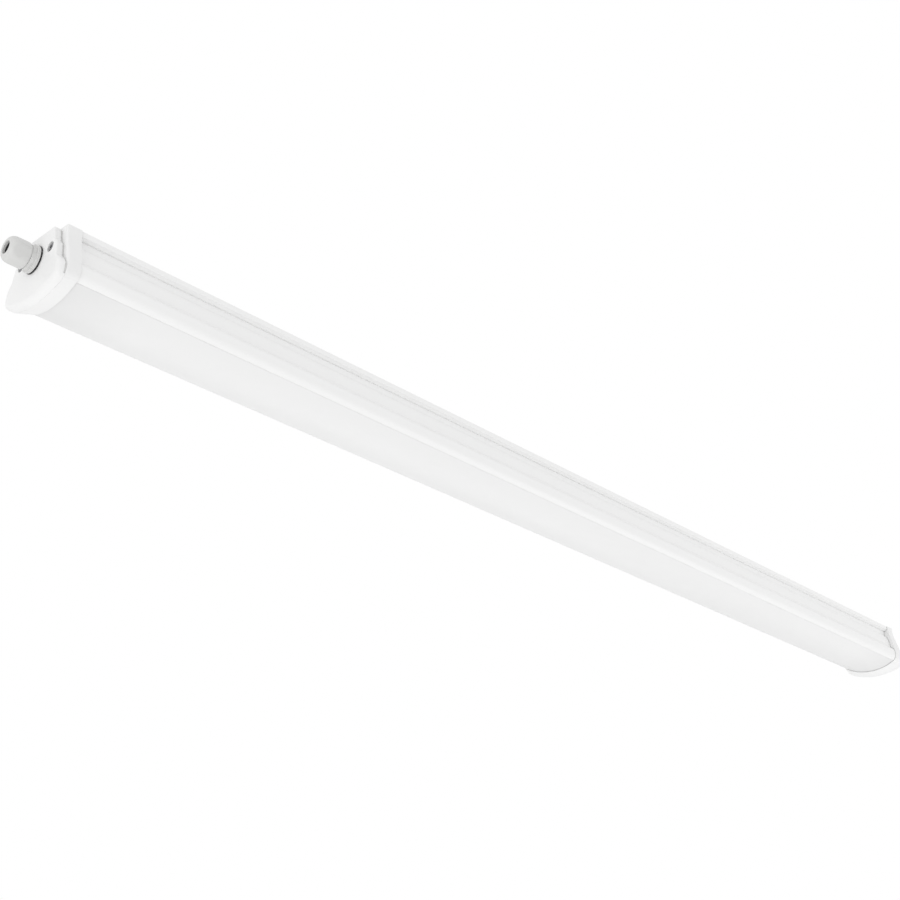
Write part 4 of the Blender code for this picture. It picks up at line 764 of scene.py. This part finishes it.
def galvanised(name, colour):
    """Zinc-coated sheet: spangles of slightly different tone, with drawing marks over them."""
    material, tree, shader = new_material(name, colour, roughness=0.42, metallic=1)
    place = stretched_place(tree, (0.6, 1, 1))
    spangle = tree.nodes.new("ShaderNodeTexVoronoi")
    spangle.inputs["Scale"].default_value = SPANGLE_SCALE
    tree.links.new(place, spangle.inputs["Vector"])
    grey = tree.nodes.new("ShaderNodeSeparateColor")
    tree.links.new(spangle.outputs["Color"], grey.inputs["Color"])
    share = grey.outputs["Red"]
    spangled = tinted(tree, share, tone(colour, SPANGLE_TONE), colour)
    tree.links.new(spangled, shader.inputs["Base Color"])
    uneven = ranged(tree, share, low=0.34, high=0.5, start=0, end=1)
    tree.links.new(uneven, shader.inputs["Roughness"])
    drawn = stretched_place(tree, (0.02, 1, 1))
    bumped(tree, shader, noise_of(tree, drawn, scale=900, detail=3), relief=0.00001)
    return material


def circuit(name, colour, copper):
    """Solder mask in oblong fields of two close tones, with raised tracks between them."""
    material, tree, shader = new_material(name, colour, roughness=0.35)
    place = stretched_place(tree)
    tracks = tree.nodes.new("ShaderNodeTexBrick")
    tracks.inputs["Scale"].default_value = TRACK_SCALE
    tracks.inputs["Mortar Size"].default_value = TRACK_WIDTH
    tracks.inputs["Color1"].default_value = (*colour, 1)
    tracks.inputs["Color2"].default_value = (*tone(colour, FIELD_TONE), 1)
    tracks.inputs["Mortar"].default_value = (*copper, 1)
    tree.links.new(place, tracks.inputs["Vector"])
    tree.links.new(tracks.outputs["Color"], shader.inputs["Base Color"])
    bumped(tree, shader, tracks.outputs["Fac"], relief=0.00003)
    return material


def opal(name, colour, roughness, **finish):
    """Frosted opal plastic that scatters light, with painted shade that darkens its colour towards the
    collars.
    """
    material = plastic(name, colour, roughness, **finish)
    tree = material.node_tree
    shader = tree.nodes["Principled BSDF"]
    clouded = shader.inputs["Base Color"].links[0].from_socket
    along = tree.nodes.new("ShaderNodeSeparateXYZ")
    tree.links.new(stretched_place(tree), along.inputs["Vector"])
    distance = tree.nodes.new("ShaderNodeMath")
    distance.operation = "ABSOLUTE"
    tree.links.new(along.outputs["X"], distance.inputs[0])
    # Painted shade: the diffuser's colour darkens over the last stretch before each collar, standing in
    # for the shade the collar casts
    share = ranged(tree, distance.outputs["Value"], 0, 1, COLLAR_SHADE_START, EXTRUSION_HALF)
    painted_shade = tinted(tree, share, clouded, tone(colour, COLLAR_SHADE_TONE))
    tree.links.new(painted_shade, shader.inputs["Base Color"])
    shader.inputs["Subsurface Weight"].default_value = OPAL_SCATTER
    shader.inputs["Subsurface Radius"].default_value = (OPAL_SCATTER_REACH,) * 3
    shader.inputs["Subsurface Scale"].default_value = 1
    return material


SHELL_WHITE = plastic("white moulded plastic", (0.875, 0.875, 0.873), 0.38)
BODY_WHITE = plastic(
    "white extruded plastic", (0.902, 0.902, 0.9), 0.36,
    grain=1600, relief=0.000008, stretch=(0.04, 1, 1),
)
OPAL = opal(
    "opal plastic", (0.824, 0.824, 0.823), 0.36,
    grain=1500, relief=0.000006, stretch=(0.08, 1, 1), vary=0.012,
)
GREY = plastic("light grey nylon", (0.685, 0.685, 0.676), 0.42, grain=2200, relief=0.000014)
BLACK = rubber("black rubber", (0.007, 0.007, 0.007))
SILICONE = rubber("grey silicone", (0.66, 0.66, 0.65))
STEEL = metal("stainless steel", (0.3, 0.3, 0.31), 0.32, grain=700)
TRAY_METAL = galvanised("zinc-coated sheet", (0.72, 0.73, 0.75))
BOARD_WHITE = circuit("white circuit board", (0.78, 0.78, 0.75), (0.7, 0.69, 0.62))
BOARD_GREEN = circuit("green circuit board", (0.035, 0.16, 0.06), (0.12, 0.3, 0.1))
INNER_WHITE = plastic("white inner plastic", (0.78, 0.78, 0.76), 0.45, grain=1400, relief=0.00002)
ORANGE = plastic("orange plastic", (0.75, 0.24, 0.03), 0.4)
WIRE_COLOURS = {
    "brown": (0.16, 0.06, 0.025),
    "blue": (0.03, 0.13, 0.42),
    "green": (0.12, 0.38, 0.06),
    "red": (0.42, 0.03, 0.03),
    "black": (0.02, 0.02, 0.02),
}
WIRES = {
    shade + "_wire": plastic(shade + " wire cover", colour, WIRE_ROUGHNESS)
    for shade, colour in WIRE_COLOURS.items()
}


# Pieces

def rounded_front(outline, radii, start, end, end_outline):
    """Rings from start to end: a front edge rounded by a radius for each point, then a taper."""
    rings = []
    steps = CORNER_STEPS * 2
    for i in range(steps + 1):
        angle = math.pi / 2 * (1 - i / steps)
        insets = [-radius * (1 - math.cos(angle)) for radius in radii]
        depths = [start + radius * (1 - math.sin(angle)) for radius in radii]
        rings.append([(x, y, z) for x, (y, z) in zip(depths, offset(outline, insets))])
    for i in range(SOFT_STEPS + 1):
        angle = math.pi / 2 * (i / SOFT_STEPS)
        inset = -SOFT_EDGE * (1 - math.cos(angle))
        x = end - SOFT_EDGE * (1 - math.sin(angle))
        rings.append([(x, y, z) for y, z in offset(end_outline, inset)])
    return rings


def at_screw(end, side, x=0):
    """The place of a cover screw's axis at one end of the light."""
    return end @ Matrix.Translation((x, side * SCREW_HALF, -SCREW_DEPTH))


def round_cut(radius, start, end, place, lip=0, sides=PIN_SIDES):
    """A cutter inwards along the light. A lip opens its mouth at start out with a round edge."""
    profile = [(0, start - CUT_OVERRUN), (radius + lip, start - CUT_OVERRUN)]
    if lip:
        for i in range(CORNER_STEPS + 1):
            angle = math.pi / 2 * i / CORNER_STEPS
            reach = radius + lip * (1 - math.sin(angle))
            profile.append((reach, start + lip * (1 - math.cos(angle))))
    profile += [(radius, end), (0, end)]
    return turned(profile, place @ FACING_IN, sides)


def make_extrusion():
    """The housing and the diffuser, each drawn the whole way between the collars' end walls."""
    housing_half = housing_outer() + list(reversed(housing_inner()))
    for node, half, material, slot in (
        ("housing", housing_half, BODY_WHITE, "white_plastic"),
        ("diffuser", diffuser_half(), OPAL, "opal_plastic"),
    ):
        mesh = prism(softened(mirrored(half)), -EXTRUSION_HALF, EXTRUSION_HALF)
        piece(node, mesh, material, "light_body")


def make_collar(label, end):
    """The collar: a seat for the extrusion, the wiring opening and two screw bosses."""
    outline = fuller(collar_outline(CAP_MARGIN))
    radii = []
    for _, z in outline:
        share = smooth_share((-z - COLLAR_ROUND) / (COLLAR_EDGE_DEPTH - COLLAR_ROUND))
        low_share = smooth_share((-z - SHOULDER_DEPTH) / (SKIRT_FULL - SHOULDER_DEPTH))
        radii.append(mix(mix(COLLAR_TOP_EDGE, COLLAR_EDGE, share), COLLAR_CHIN_EDGE, low_share))
    rings = rounded_front(outline, radii, COLLAR_START, COLLAR_END, collar_outline(COLLAR_MARGIN))
    seat = offset(envelope_outline(), SEAT_GAP)
    socket = prism(seat, COLLAR_WALL_END, COLLAR_END + CUT_OVERRUN, end)
    opening_start = COLLAR_START - CUT_OVERRUN
    opening = prism(opening_outline(), opening_start, COLLAR_WALL_END + CUT_OVERRUN, end)
    mesh = combined(loft(rings, end), [socket, opening])

    start = COLLAR_WALL_END - COLLAR_FRONT_WALL / 2
    tip = COLLAR_WALL_END + BOSS_LENGTH
    profile = [
        (0, start),
        (BOSS_RADIUS, start),
        (BOSS_RADIUS, tip - SOFT_EDGE),
        (BOSS_RADIUS - SOFT_EDGE, tip),
        (0, tip),
    ]
    bosses = []
    bores = []
    for side in (-1, 1):
        place = at_screw(end, side)
        bosses.append(turned(profile, place @ FACING_IN, PIN_SIDES))
        bores.append(round_cut(SCREW_HOLE, COLLAR_START, tip - SOFT_EDGE * 3, place))
    mesh = combined(mesh, bosses, "UNION")
    mesh = combined(mesh, bores)
    piece(label + "_collar", mesh, SHELL_WHITE, "light_body")


def make_gasket(label, end):
    """The seal between collar and cover, with a round edge, drawn in where the skirt passes."""
    outline = cover_outline()
    low_inset = SKIRT_WALL + SEAT_GAP
    insets = [-mix(GASKET_INSET, low_inset, wall / SKIRT_WALL) for wall in skirt_walls(outline)]
    start = PLATE_REACH + LIP_GAP
    middle = (start + COLLAR_START) / 2
    half = (COLLAR_START - start) / 2
    rings = []
    for i in range(CORNER_STEPS + 1):
        angle = math.pi * (i / CORNER_STEPS - 1 / 2)
        bulge = SOFT_EDGE * (math.cos(angle) - 1)
        moved = offset(outline, [inset + bulge for inset in insets])
        rings.append([(middle + half * math.sin(angle), y, z) for y, z in moved])
    cut_end = COLLAR_START + CUT_OVERRUN
    cutters = [prism(opening_outline(), start - CUT_OVERRUN, cut_end, end)]
    for side in (-1, 1):
        cutters.append(round_cut(SCREW_HOLE, start, cut_end, at_screw(end, side)))
    mesh = combined(loft(rings, end), cutters)
    piece(label + "_gasket", mesh, SILICONE, "light_body")


def make_cover(label, end, has_gland):
    """The end cover: plate with screw pits, a skirt under the chin and a hollow spigot."""
    outline = cover_outline()
    radii = []
    for _, z in outline:
        share = smooth_share((-z - MIDDLE_LOW_DEPTH) / (FLUSH_DEPTH - MIDDLE_LOW_DEPTH))
        radii.append(mix(WAIST_EDGE, CHIN_EDGE, share))
    plate = loft(rounded_front(outline, radii, 0, PLATE_REACH, outline), end)

    walls = skirt_walls(outline)
    inner = offset(outline, [-wall for wall in walls])
    kept = [i for i, wall in enumerate(walls) if wall > SOFT_EDGE]
    crescent = [outline[i] for i in kept] + [inner[i] for i in reversed(kept)]
    eased = offset(crescent, -SKIRT_EASE)
    skirt = prism(eased, PLATE_REACH - SOFT_EDGE * 2, COLLAR_START - SKIRT_GAP, end)
    spigot_end = COVER_PLATE + SPIGOT_REACH
    spigot = prism(opening_outline(SPIGOT_GAP), COVER_WEB, spigot_end, end)
    mesh = combined(plate, [skirt, spigot], "UNION")

    pocket = opening_outline(SPIGOT_GAP + SPIGOT_WALL)
    cutters = [prism(pocket, COVER_WEB, spigot_end + CUT_OVERRUN, end)]
    for side in (-1, 1):
        place = at_screw(end, side)
        pit = round_cut(SCREW_PIT_RADIUS, 0, SCREW_PIT_DEPTH, place, PIT_LIP)
        hole = round_cut(SCREW_HOLE, 0, PLATE_REACH + CUT_OVERRUN, place)
        cutters += [pit, hole]
    if has_gland:
        place = end @ Matrix.Translation((0, 0, -GLAND_DEPTH))
        reach = GLAND_SHANK_RADIUS + SEAT_GAP
        cutters.append(round_cut(reach, 0, COVER_PLATE, place, sides=RING_SIDES))
    mesh = combined(mesh, cutters)
    piece(label + "_cover", mesh, SHELL_WHITE, label + "_end_cover")


def thread_radius(start, end, pitch):
    """How a thread cuts into a turned radius between two heights, fading out at both ends."""
    run_out = pitch / 2

    def radius_at(radius, height, angle):
        if height <= start or height >= end:
            return radius
        phase = 2 * math.pi * height / pitch - angle
        fade = min((height - start) / run_out, (end - height) / run_out, 1)
        cut = THREAD_DEPTH * (1 - abs(((phase / (2 * math.pi)) % 1) * 2 - 1))
        return radius - cut * fade
    return radius_at


def heights(start, end, step):
    """Even heights from start to end, both included, about a step apart."""
    count = max(int(abs(end - start) / step), 1)
    return [mix(start, end, i / count) for i in range(count + 1)]


def screw_head_profile():
    """A pan head from its crown to its underside, with round edges."""
    top = SCREW_HEAD_HEIGHT
    steps = CORNER_STEPS * 2
    points = []
    for i in range(steps + 1):
        angle = math.pi / 2 * i / steps
        radius = mix(SCREW_HEAD_RADIUS * HEAD_FLAT_SHARE, SCREW_HEAD_RADIUS, math.sin(angle))
        points.append((radius, mix(top * HEAD_RIM_SHARE, top, math.cos(angle))))
    bevel = top * HEAD_BEVEL_SHARE
    return points + [(SCREW_HEAD_RADIUS, bevel), (SCREW_HEAD_RADIUS - bevel, 0)]


def drive_rings():
    """The lobed drive as a cutter, from its point up to a mouth just above the head."""
    star = []
    for i in range(DRIVE_SIDES):
        angle = 2 * math.pi * i / DRIVE_SIDES
        radius = DRIVE_RADIUS * (1 - LOBE_SHARE / 2 + LOBE_SHARE / 2 * math.cos(LOBES * angle))
        star.append((radius * math.cos(angle), radius * math.sin(angle)))
    floor = SCREW_HEAD_HEIGHT - DRIVE_DEPTH
    lip = DRIVE_DEPTH * DRIVE_LIP_SHARE
    stations = (
        (DRIVE_POINT_SHARE, floor - DRIVE_DEPTH * DRIVE_POINT_DEPTH_SHARE),
        (DRIVE_FLOOR_SHARE, floor),
        (1, SCREW_HEAD_HEIGHT - lip),
        (DRIVE_MOUTH_SHARE, SCREW_HEAD_HEIGHT + lip),
    )
    return [[(x * share, y * share, height) for x, y in star] for share, height in stations]


def make_screw(label, end, side, number):
    """A cover screw with its thread and drive."""
    place = at_screw(end, side, SCREW_SEAT) @ FACING_OUT
    root = -SEAT_GAP
    tip = -SCREW_LENGTH
    step = SCREW_PITCH / THREAD_STEPS
    shank = [(SCREW_RADIUS, h) for h in heights(root, tip + SCREW_POINT, step)]
    profile = [(0, SCREW_HEAD_HEIGHT)] + screw_head_profile() + [(SCREW_RADIUS, 0)] + shank
    profile.append((SCREW_RADIUS * POINT_RADIUS_SHARE, tip + SCREW_POINT * POINT_START_SHARE))
    profile.append((0, tip))
    thread_end = tip + SCREW_POINT * THREAD_END_SHARE
    screw = turned(profile, place, PIN_SIDES, thread_radius(thread_end, root, SCREW_PITCH))
    drive = loft(drive_rings(), place)
    node = "%s_screw_%d" % (label, number)
    body = "%s_bolt_%d" % (label, number)
    piece(node, combined(screw, [drive]), STEEL, body, THREAD_SHARP_DEG)


def make_washer(label, end, side, number):
    """The sealing washer under a cover screw's head."""
    place = at_screw(end, side, SCREW_SEAT + SEAT_GAP + WASHER_THICKNESS) @ FACING_OUT
    thick = WASHER_THICKNESS
    ring = [(WASHER_RADIUS, thick), (WASHER_RADIUS, 0), (SCREW_HOLE, 0), (SCREW_HOLE, thick)]
    mesh = turned(softened(ring, thick / 3), place, PIN_SIDES)
    node = "%s_screw_%d_washer" % (label, number)
    piece(node, mesh, BLACK, "%s_washer_%d" % (label, number))


# Cable gland, in its own frame: height runs outwards from the near cover's face

FLANGE_START = RING_GAP + O_RING_THICKNESS + RING_GAP
HEX_START = FLANGE_START + GLAND_FLANGE_THICKNESS
NECK_START = HEX_START + GLAND_HEX_LENGTH
FINGER_START = NECK_START + GLAND_NECK_LENGTH
FINGER_TIP = FINGER_START + FINGER_LENGTH
GLAND_PLACE = NEAR @ Matrix.Translation((0, 0, -GLAND_DEPTH)) @ FACING_OUT


def hexagon_reach(flats, angle):
    """Distance from the axis to a hexagon with slightly round corners."""
    sector = math.pi / 3
    turn = (angle % sector) - sector / 2
    limit = math.radians(HEX_HALF_DEG - HEX_CORNER_DEG)
    if abs(turn) <= limit:
        return flats / 2 / math.cos(turn)
    corner_turn = math.radians(HEX_CORNER_DEG)
    over = (abs(turn) - limit) / corner_turn
    start = flats / 2 / math.cos(limit)
    slope = math.tan(limit) * corner_turn
    return start * (1 + slope * (over - over * over / 2))


def soft_least(one, two, width):
    """The smaller of two values, with the change from one to the other rounded off."""
    share = min(max((two - one) / width / 2 + 1 / 2, 0), 1)
    return mix(two, one, share) - width * share * (1 - share)


def hex_nut_radius(flats, turn):
    """How a hexagon, turned by an angle, limits a turned radius."""
    def radius_at(radius, _height, angle):
        return soft_least(radius, hexagon_reach(flats, angle + turn), SOFT_EDGE)
    return radius_at


def make_gland_body():
    """Shank, flange, hexagon, neck and slit fingers, turned as one ring round the cable's bore."""
    hex_reach = GLAND_FLANGE_RADIUS - SOFT_EDGE
    step = GLAND_PITCH / THREAD_STEPS
    neck = [(GLAND_NECK_RADIUS, h) for h in heights(FINGER_START, NECK_START, step)]
    hexagon = [
        (hex_reach - SOFT_EDGE * 2, NECK_START),
        (hex_reach - SOFT_EDGE / 2, NECK_START - SOFT_EDGE / 2),
        (hex_reach, NECK_START - SOFT_EDGE * 2),
        (hex_reach, HEX_START + SOFT_EDGE),
        (hex_reach, HEX_START),
    ]
    flange = [
        (GLAND_FLANGE_RADIUS - SOFT_EDGE / 2, HEX_START),
        (GLAND_FLANGE_RADIUS, HEX_START - SOFT_EDGE / 2),
        (GLAND_FLANGE_RADIUS, FLANGE_START + SOFT_EDGE / 2),
        (GLAND_FLANGE_RADIUS - SOFT_EDGE / 2, FLANGE_START),
    ]
    shank = [(GLAND_SHANK_RADIUS, h) for h in heights(FLANGE_START, -GLAND_SHANK_REACH, step)]
    profile = [(FINGER_RADIUS, FINGER_TIP), (FINGER_RADIUS, FINGER_START + SOFT_EDGE)]
    profile += neck + hexagon + flange + shank
    profile += [(GLAND_BORE, -GLAND_SHANK_REACH), (GLAND_BORE, FINGER_TIP)]
    neck_cut = thread_radius(NECK_START, FINGER_START, GLAND_PITCH)
    shank_cut = thread_radius(-GLAND_SHANK_REACH, -WALL, GLAND_PITCH)
    grip = hex_nut_radius(GLAND_HEX_FLATS, 0)

    def radius_at(radius, height, angle):
        if GLAND_NECK_RADIUS + WELD < radius <= hex_reach + WELD:
            return grip(radius, height, angle)
        if abs(radius - GLAND_NECK_RADIUS) < WELD:
            return neck_cut(radius, height, angle)
        if abs(radius - GLAND_SHANK_RADIUS) < WELD:
            return shank_cut(radius, height, angle)
        return radius

    mesh = turned(profile, GLAND_PLACE, RING_SIDES, radius_at)
    length = FINGER_LENGTH + CUT_OVERRUN
    slits = FINGER_COUNT // 2
    half_step = 1 / (2 * RING_SIDES)
    cutters = []
    for i in range(slits):
        bm = bmesh.new()
        bmesh.ops.create_cube(bm, size=1)
        bmesh.ops.scale(bm, vec=(2 * GLAND_NECK_RADIUS, FINGER_SLIT, length), verts=bm.verts)
        bmesh.ops.translate(bm, vec=(0, 0, FINGER_START + SEAT_GAP + length / 2), verts=bm.verts)
        spin = Matrix.Rotation(math.pi * (i / slits + half_step), 4, "Z")
        cutters.append(finished(bm, GLAND_PLACE @ spin))
    mesh = combined(mesh, cutters)
    piece("gland_body", mesh, GREY, "near_end_cover", THREAD_SHARP_DEG)


def make_o_ring():
    """The round ring behind the gland's flange."""
    middle = RING_GAP + O_RING_THICKNESS / 2
    half = (O_RING_RADIUS - O_RING_INNER) / 2
    centre = (O_RING_RADIUS + O_RING_INNER) / 2
    steps = PIN_SIDES // 2
    profile = []
    for i in range(steps):
        angle = 2 * math.pi * i / steps
        height = middle + O_RING_THICKNESS / 2 * math.sin(angle)
        profile.append((centre + half * math.cos(angle), height))
    mesh = turned(profile, GLAND_PLACE)
    piece("gland_o_ring", mesh, BLACK, "near_end_cover")


def make_locknut():
    """The hexagon nut on the gland's shank, inside the cover."""
    top = -COVER_WEB - SEAT_GAP
    low = top - LOCKNUT_THICKNESS
    corner = LOCKNUT_FLATS / 2 / math.cos(math.pi / 6)
    inner = GLAND_SHANK_RADIUS + SEAT_GAP
    profile = []
    for h in heights(low, top, SOFT_EDGE):
        edge = max(0, h - top + SOFT_EDGE * 2, low + SOFT_EDGE * 2 - h)
        profile.append((corner - edge * LOCKNUT_BEVEL, h))
    profile += [(inner, h) for h in heights(top, low, GLAND_PITCH / THREAD_STEPS)]
    turn = hex_nut_radius(LOCKNUT_FLATS, math.pi / 6)

    def radius_at(radius, height, angle):
        return turn(radius, height, angle) if radius > inner + WELD else radius

    mesh = turned(profile, GLAND_PLACE, RING_SIDES, radius_at)
    piece("gland_locknut", mesh, GREY, "near_end_cover", THREAD_SHARP_DEG)


def make_seal():
    """The rubber sleeve in the gland's bore, with a rim over the fingers' tips."""
    face = FINGER_TIP + SEAT_GAP + SEAL_RIM
    outer = GLAND_BORE - SEAT_GAP
    low = face - SEAL_LENGTH
    profile = [
        (FINGER_RADIUS - SEAT_GAP, face),
        (FINGER_RADIUS - SEAT_GAP, face - SEAL_RIM),
        (outer, face - SEAL_RIM),
        (outer, low),
        (SEAL_BORE, low),
        (SEAL_BORE, face),
    ]
    mesh = turned(softened(profile), GLAND_PLACE)
    piece("gland_seal", mesh, BLACK, "cable_seal")


def make_dome_nut():
    """A hexagon with a domed nose and a rolled mouth, hollow round the neck, fingers and seal."""
    start = NECK_START + SEAT_GAP
    face = start + NUT_LENGTH
    dome_start = face - NUT_DOME
    seal_face = FINGER_TIP + 2 * SEAT_GAP + SEAL_RIM
    bore = GLAND_NECK_RADIUS + SEAT_GAP
    dome = []
    for i in range(ARC_STEPS + 1):
        angle = math.pi / 2 * i / ARC_STEPS
        radius = mix(NUT_FACE_RADIUS, NUT_CORNER_RADIUS, math.sin(angle))
        dome.append((radius, mix(dome_start, face, math.cos(angle))))
    grip_heights = heights(dome_start - NUT_LIP, start + NUT_CHAMFER, NUT_LIP)
    grip = [(NUT_CORNER_RADIUS, h) for h in grip_heights]
    foot = [(NUT_CORNER_RADIUS - NUT_CHAMFER, start)]
    inner = [
        (bore, start),
        (bore, start + NUT_THREAD_LENGTH + SEAT_GAP),
        (FINGER_RADIUS + SEAT_GAP, seal_face - SEAL_RIM),
        (FINGER_RADIUS + SEAT_GAP, seal_face),
        (NUT_MOUTH, seal_face),
    ]
    lip = []
    for i in range(CORNER_STEPS + 1):
        angle = math.pi / 2 * i / CORNER_STEPS
        radius = NUT_MOUTH + NUT_LIP * (1 - math.cos(angle))
        lip.append((radius, face - NUT_LIP * (1 - math.sin(angle))))
    profile = dome + grip + foot + inner + lip
    turn = hex_nut_radius(NUT_FLATS, math.radians(NUT_TURN_DEG))

    def radius_at(radius, height, angle):
        return turn(radius, height, angle) if radius > bore + SOFT_EDGE else radius

    mesh = turned(profile, GLAND_PLACE, RING_SIDES * 2, radius_at)
    piece("gland_dome_nut", mesh, GREY, "dome_nut", THREAD_SHARP_DEG)


def dress_inside():
    """Finished materials for the pieces inside, whose CAD shapes stay."""
    slots = {
        "tray_metal": TRAY_METAL,
        "led_board": BOARD_WHITE,
        "circuit_board": BOARD_GREEN,
        "white_plastic": INNER_WHITE,
        "screw_steel": STEEL,
        "orange_plastic": ORANGE,
        **WIRES,
    }
    for row in frame["record"]["subparts"]:
        material = slots.get(row["material_slot"])
        node = frame["nodes"][row["node"]]
        if material is None or node.hide_render:
            continue
        for slot in node.material_slots:
            slot.material = material


# Stage, lights and camera

def make_floor():
    bm = bmesh.new()
    bmesh.ops.create_grid(bm, x_segments=1, y_segments=1, size=FLOOR_HALF)
    bmesh.ops.translate(bm, vec=(0, 0, CAD_BOX[0][2] - FLOOR_DROP), verts=bm.verts)
    mesh = bpy.data.meshes.new("floor")
    bm.to_mesh(mesh)
    bm.free()
    floor = placed("floor", mesh)
    mesh.materials.append(new_material("pale floor", FLOOR_TONE, FLOOR_ROUGHNESS)[0])


def area_light(name, place, target, width, height, power):
    """A soft box that faces a target and doesn't show itself."""
    light = bpy.data.lights.new(name, "AREA")
    light.shape = "RECTANGLE"
    light.size = width
    light.size_y = height
    light.energy = power
    obj = placed(name, light)
    obj.location = place
    aim = Vector(target) - Vector(place)
    obj.rotation_mode = "QUATERNION"
    obj.rotation_quaternion = aim.to_track_quat("-Z", "Y")
    obj.visible_camera = False


def make_lights():
    """A white backdrop for the camera, a slightly dimmer white all round, and the soft boxes."""
    world = bpy.data.worlds.new("studio")
    bpy.context.scene.world = world
    world.use_nodes = True
    nodes = world.node_tree.nodes
    links = world.node_tree.links
    nodes.clear()
    whites = []
    for strength in (BACKDROP_STRENGTH, FILLING_STRENGTH):
        white = nodes.new("ShaderNodeBackground")
        white.inputs["Color"].default_value = (1, 1, 1, 1)
        white.inputs["Strength"].default_value = strength
        whites.append(white)
    backdrop, filling = whites
    path = nodes.new("ShaderNodeLightPath")
    choose = nodes.new("ShaderNodeMixShader")
    output = nodes.new("ShaderNodeOutputWorld")
    links.new(path.outputs["Is Camera Ray"], choose.inputs[0])
    links.new(filling.outputs[0], choose.inputs[1])
    links.new(backdrop.outputs[0], choose.inputs[2])
    links.new(choose.outputs[0], output.inputs["Surface"])
    for softbox in SOFTBOXES:
        area_light(*softbox)


def make_camera():
    data = bpy.data.cameras.new("camera")
    data.lens = CAMERA_LENS
    data.sensor_width = CAMERA_SENSOR
    data.clip_start = CAMERA_CLIP_START
    data.clip_end = CAMERA_CLIP_END
    camera = placed("camera", data)
    camera.location = CAMERA_PLACE
    camera.rotation_euler = CAMERA_TURN
    bpy.context.scene.camera = camera


make_camera()
make_lights()
make_floor()
make_extrusion()
for label, end in (("near", NEAR), ("far", FAR)):
    make_collar(label, end)
    make_gasket(label, end)
    make_cover(label, end, label == "near")
    for number, side in enumerate((-1, 1), 1):
        make_screw(label, end, side, number)
        make_washer(label, end, side, number)
make_gland_body()
make_o_ring()
make_locknut()
make_seal()
make_dome_nut()
dress_inside()

bpy.context.scene.view_settings.view_transform = "Standard"
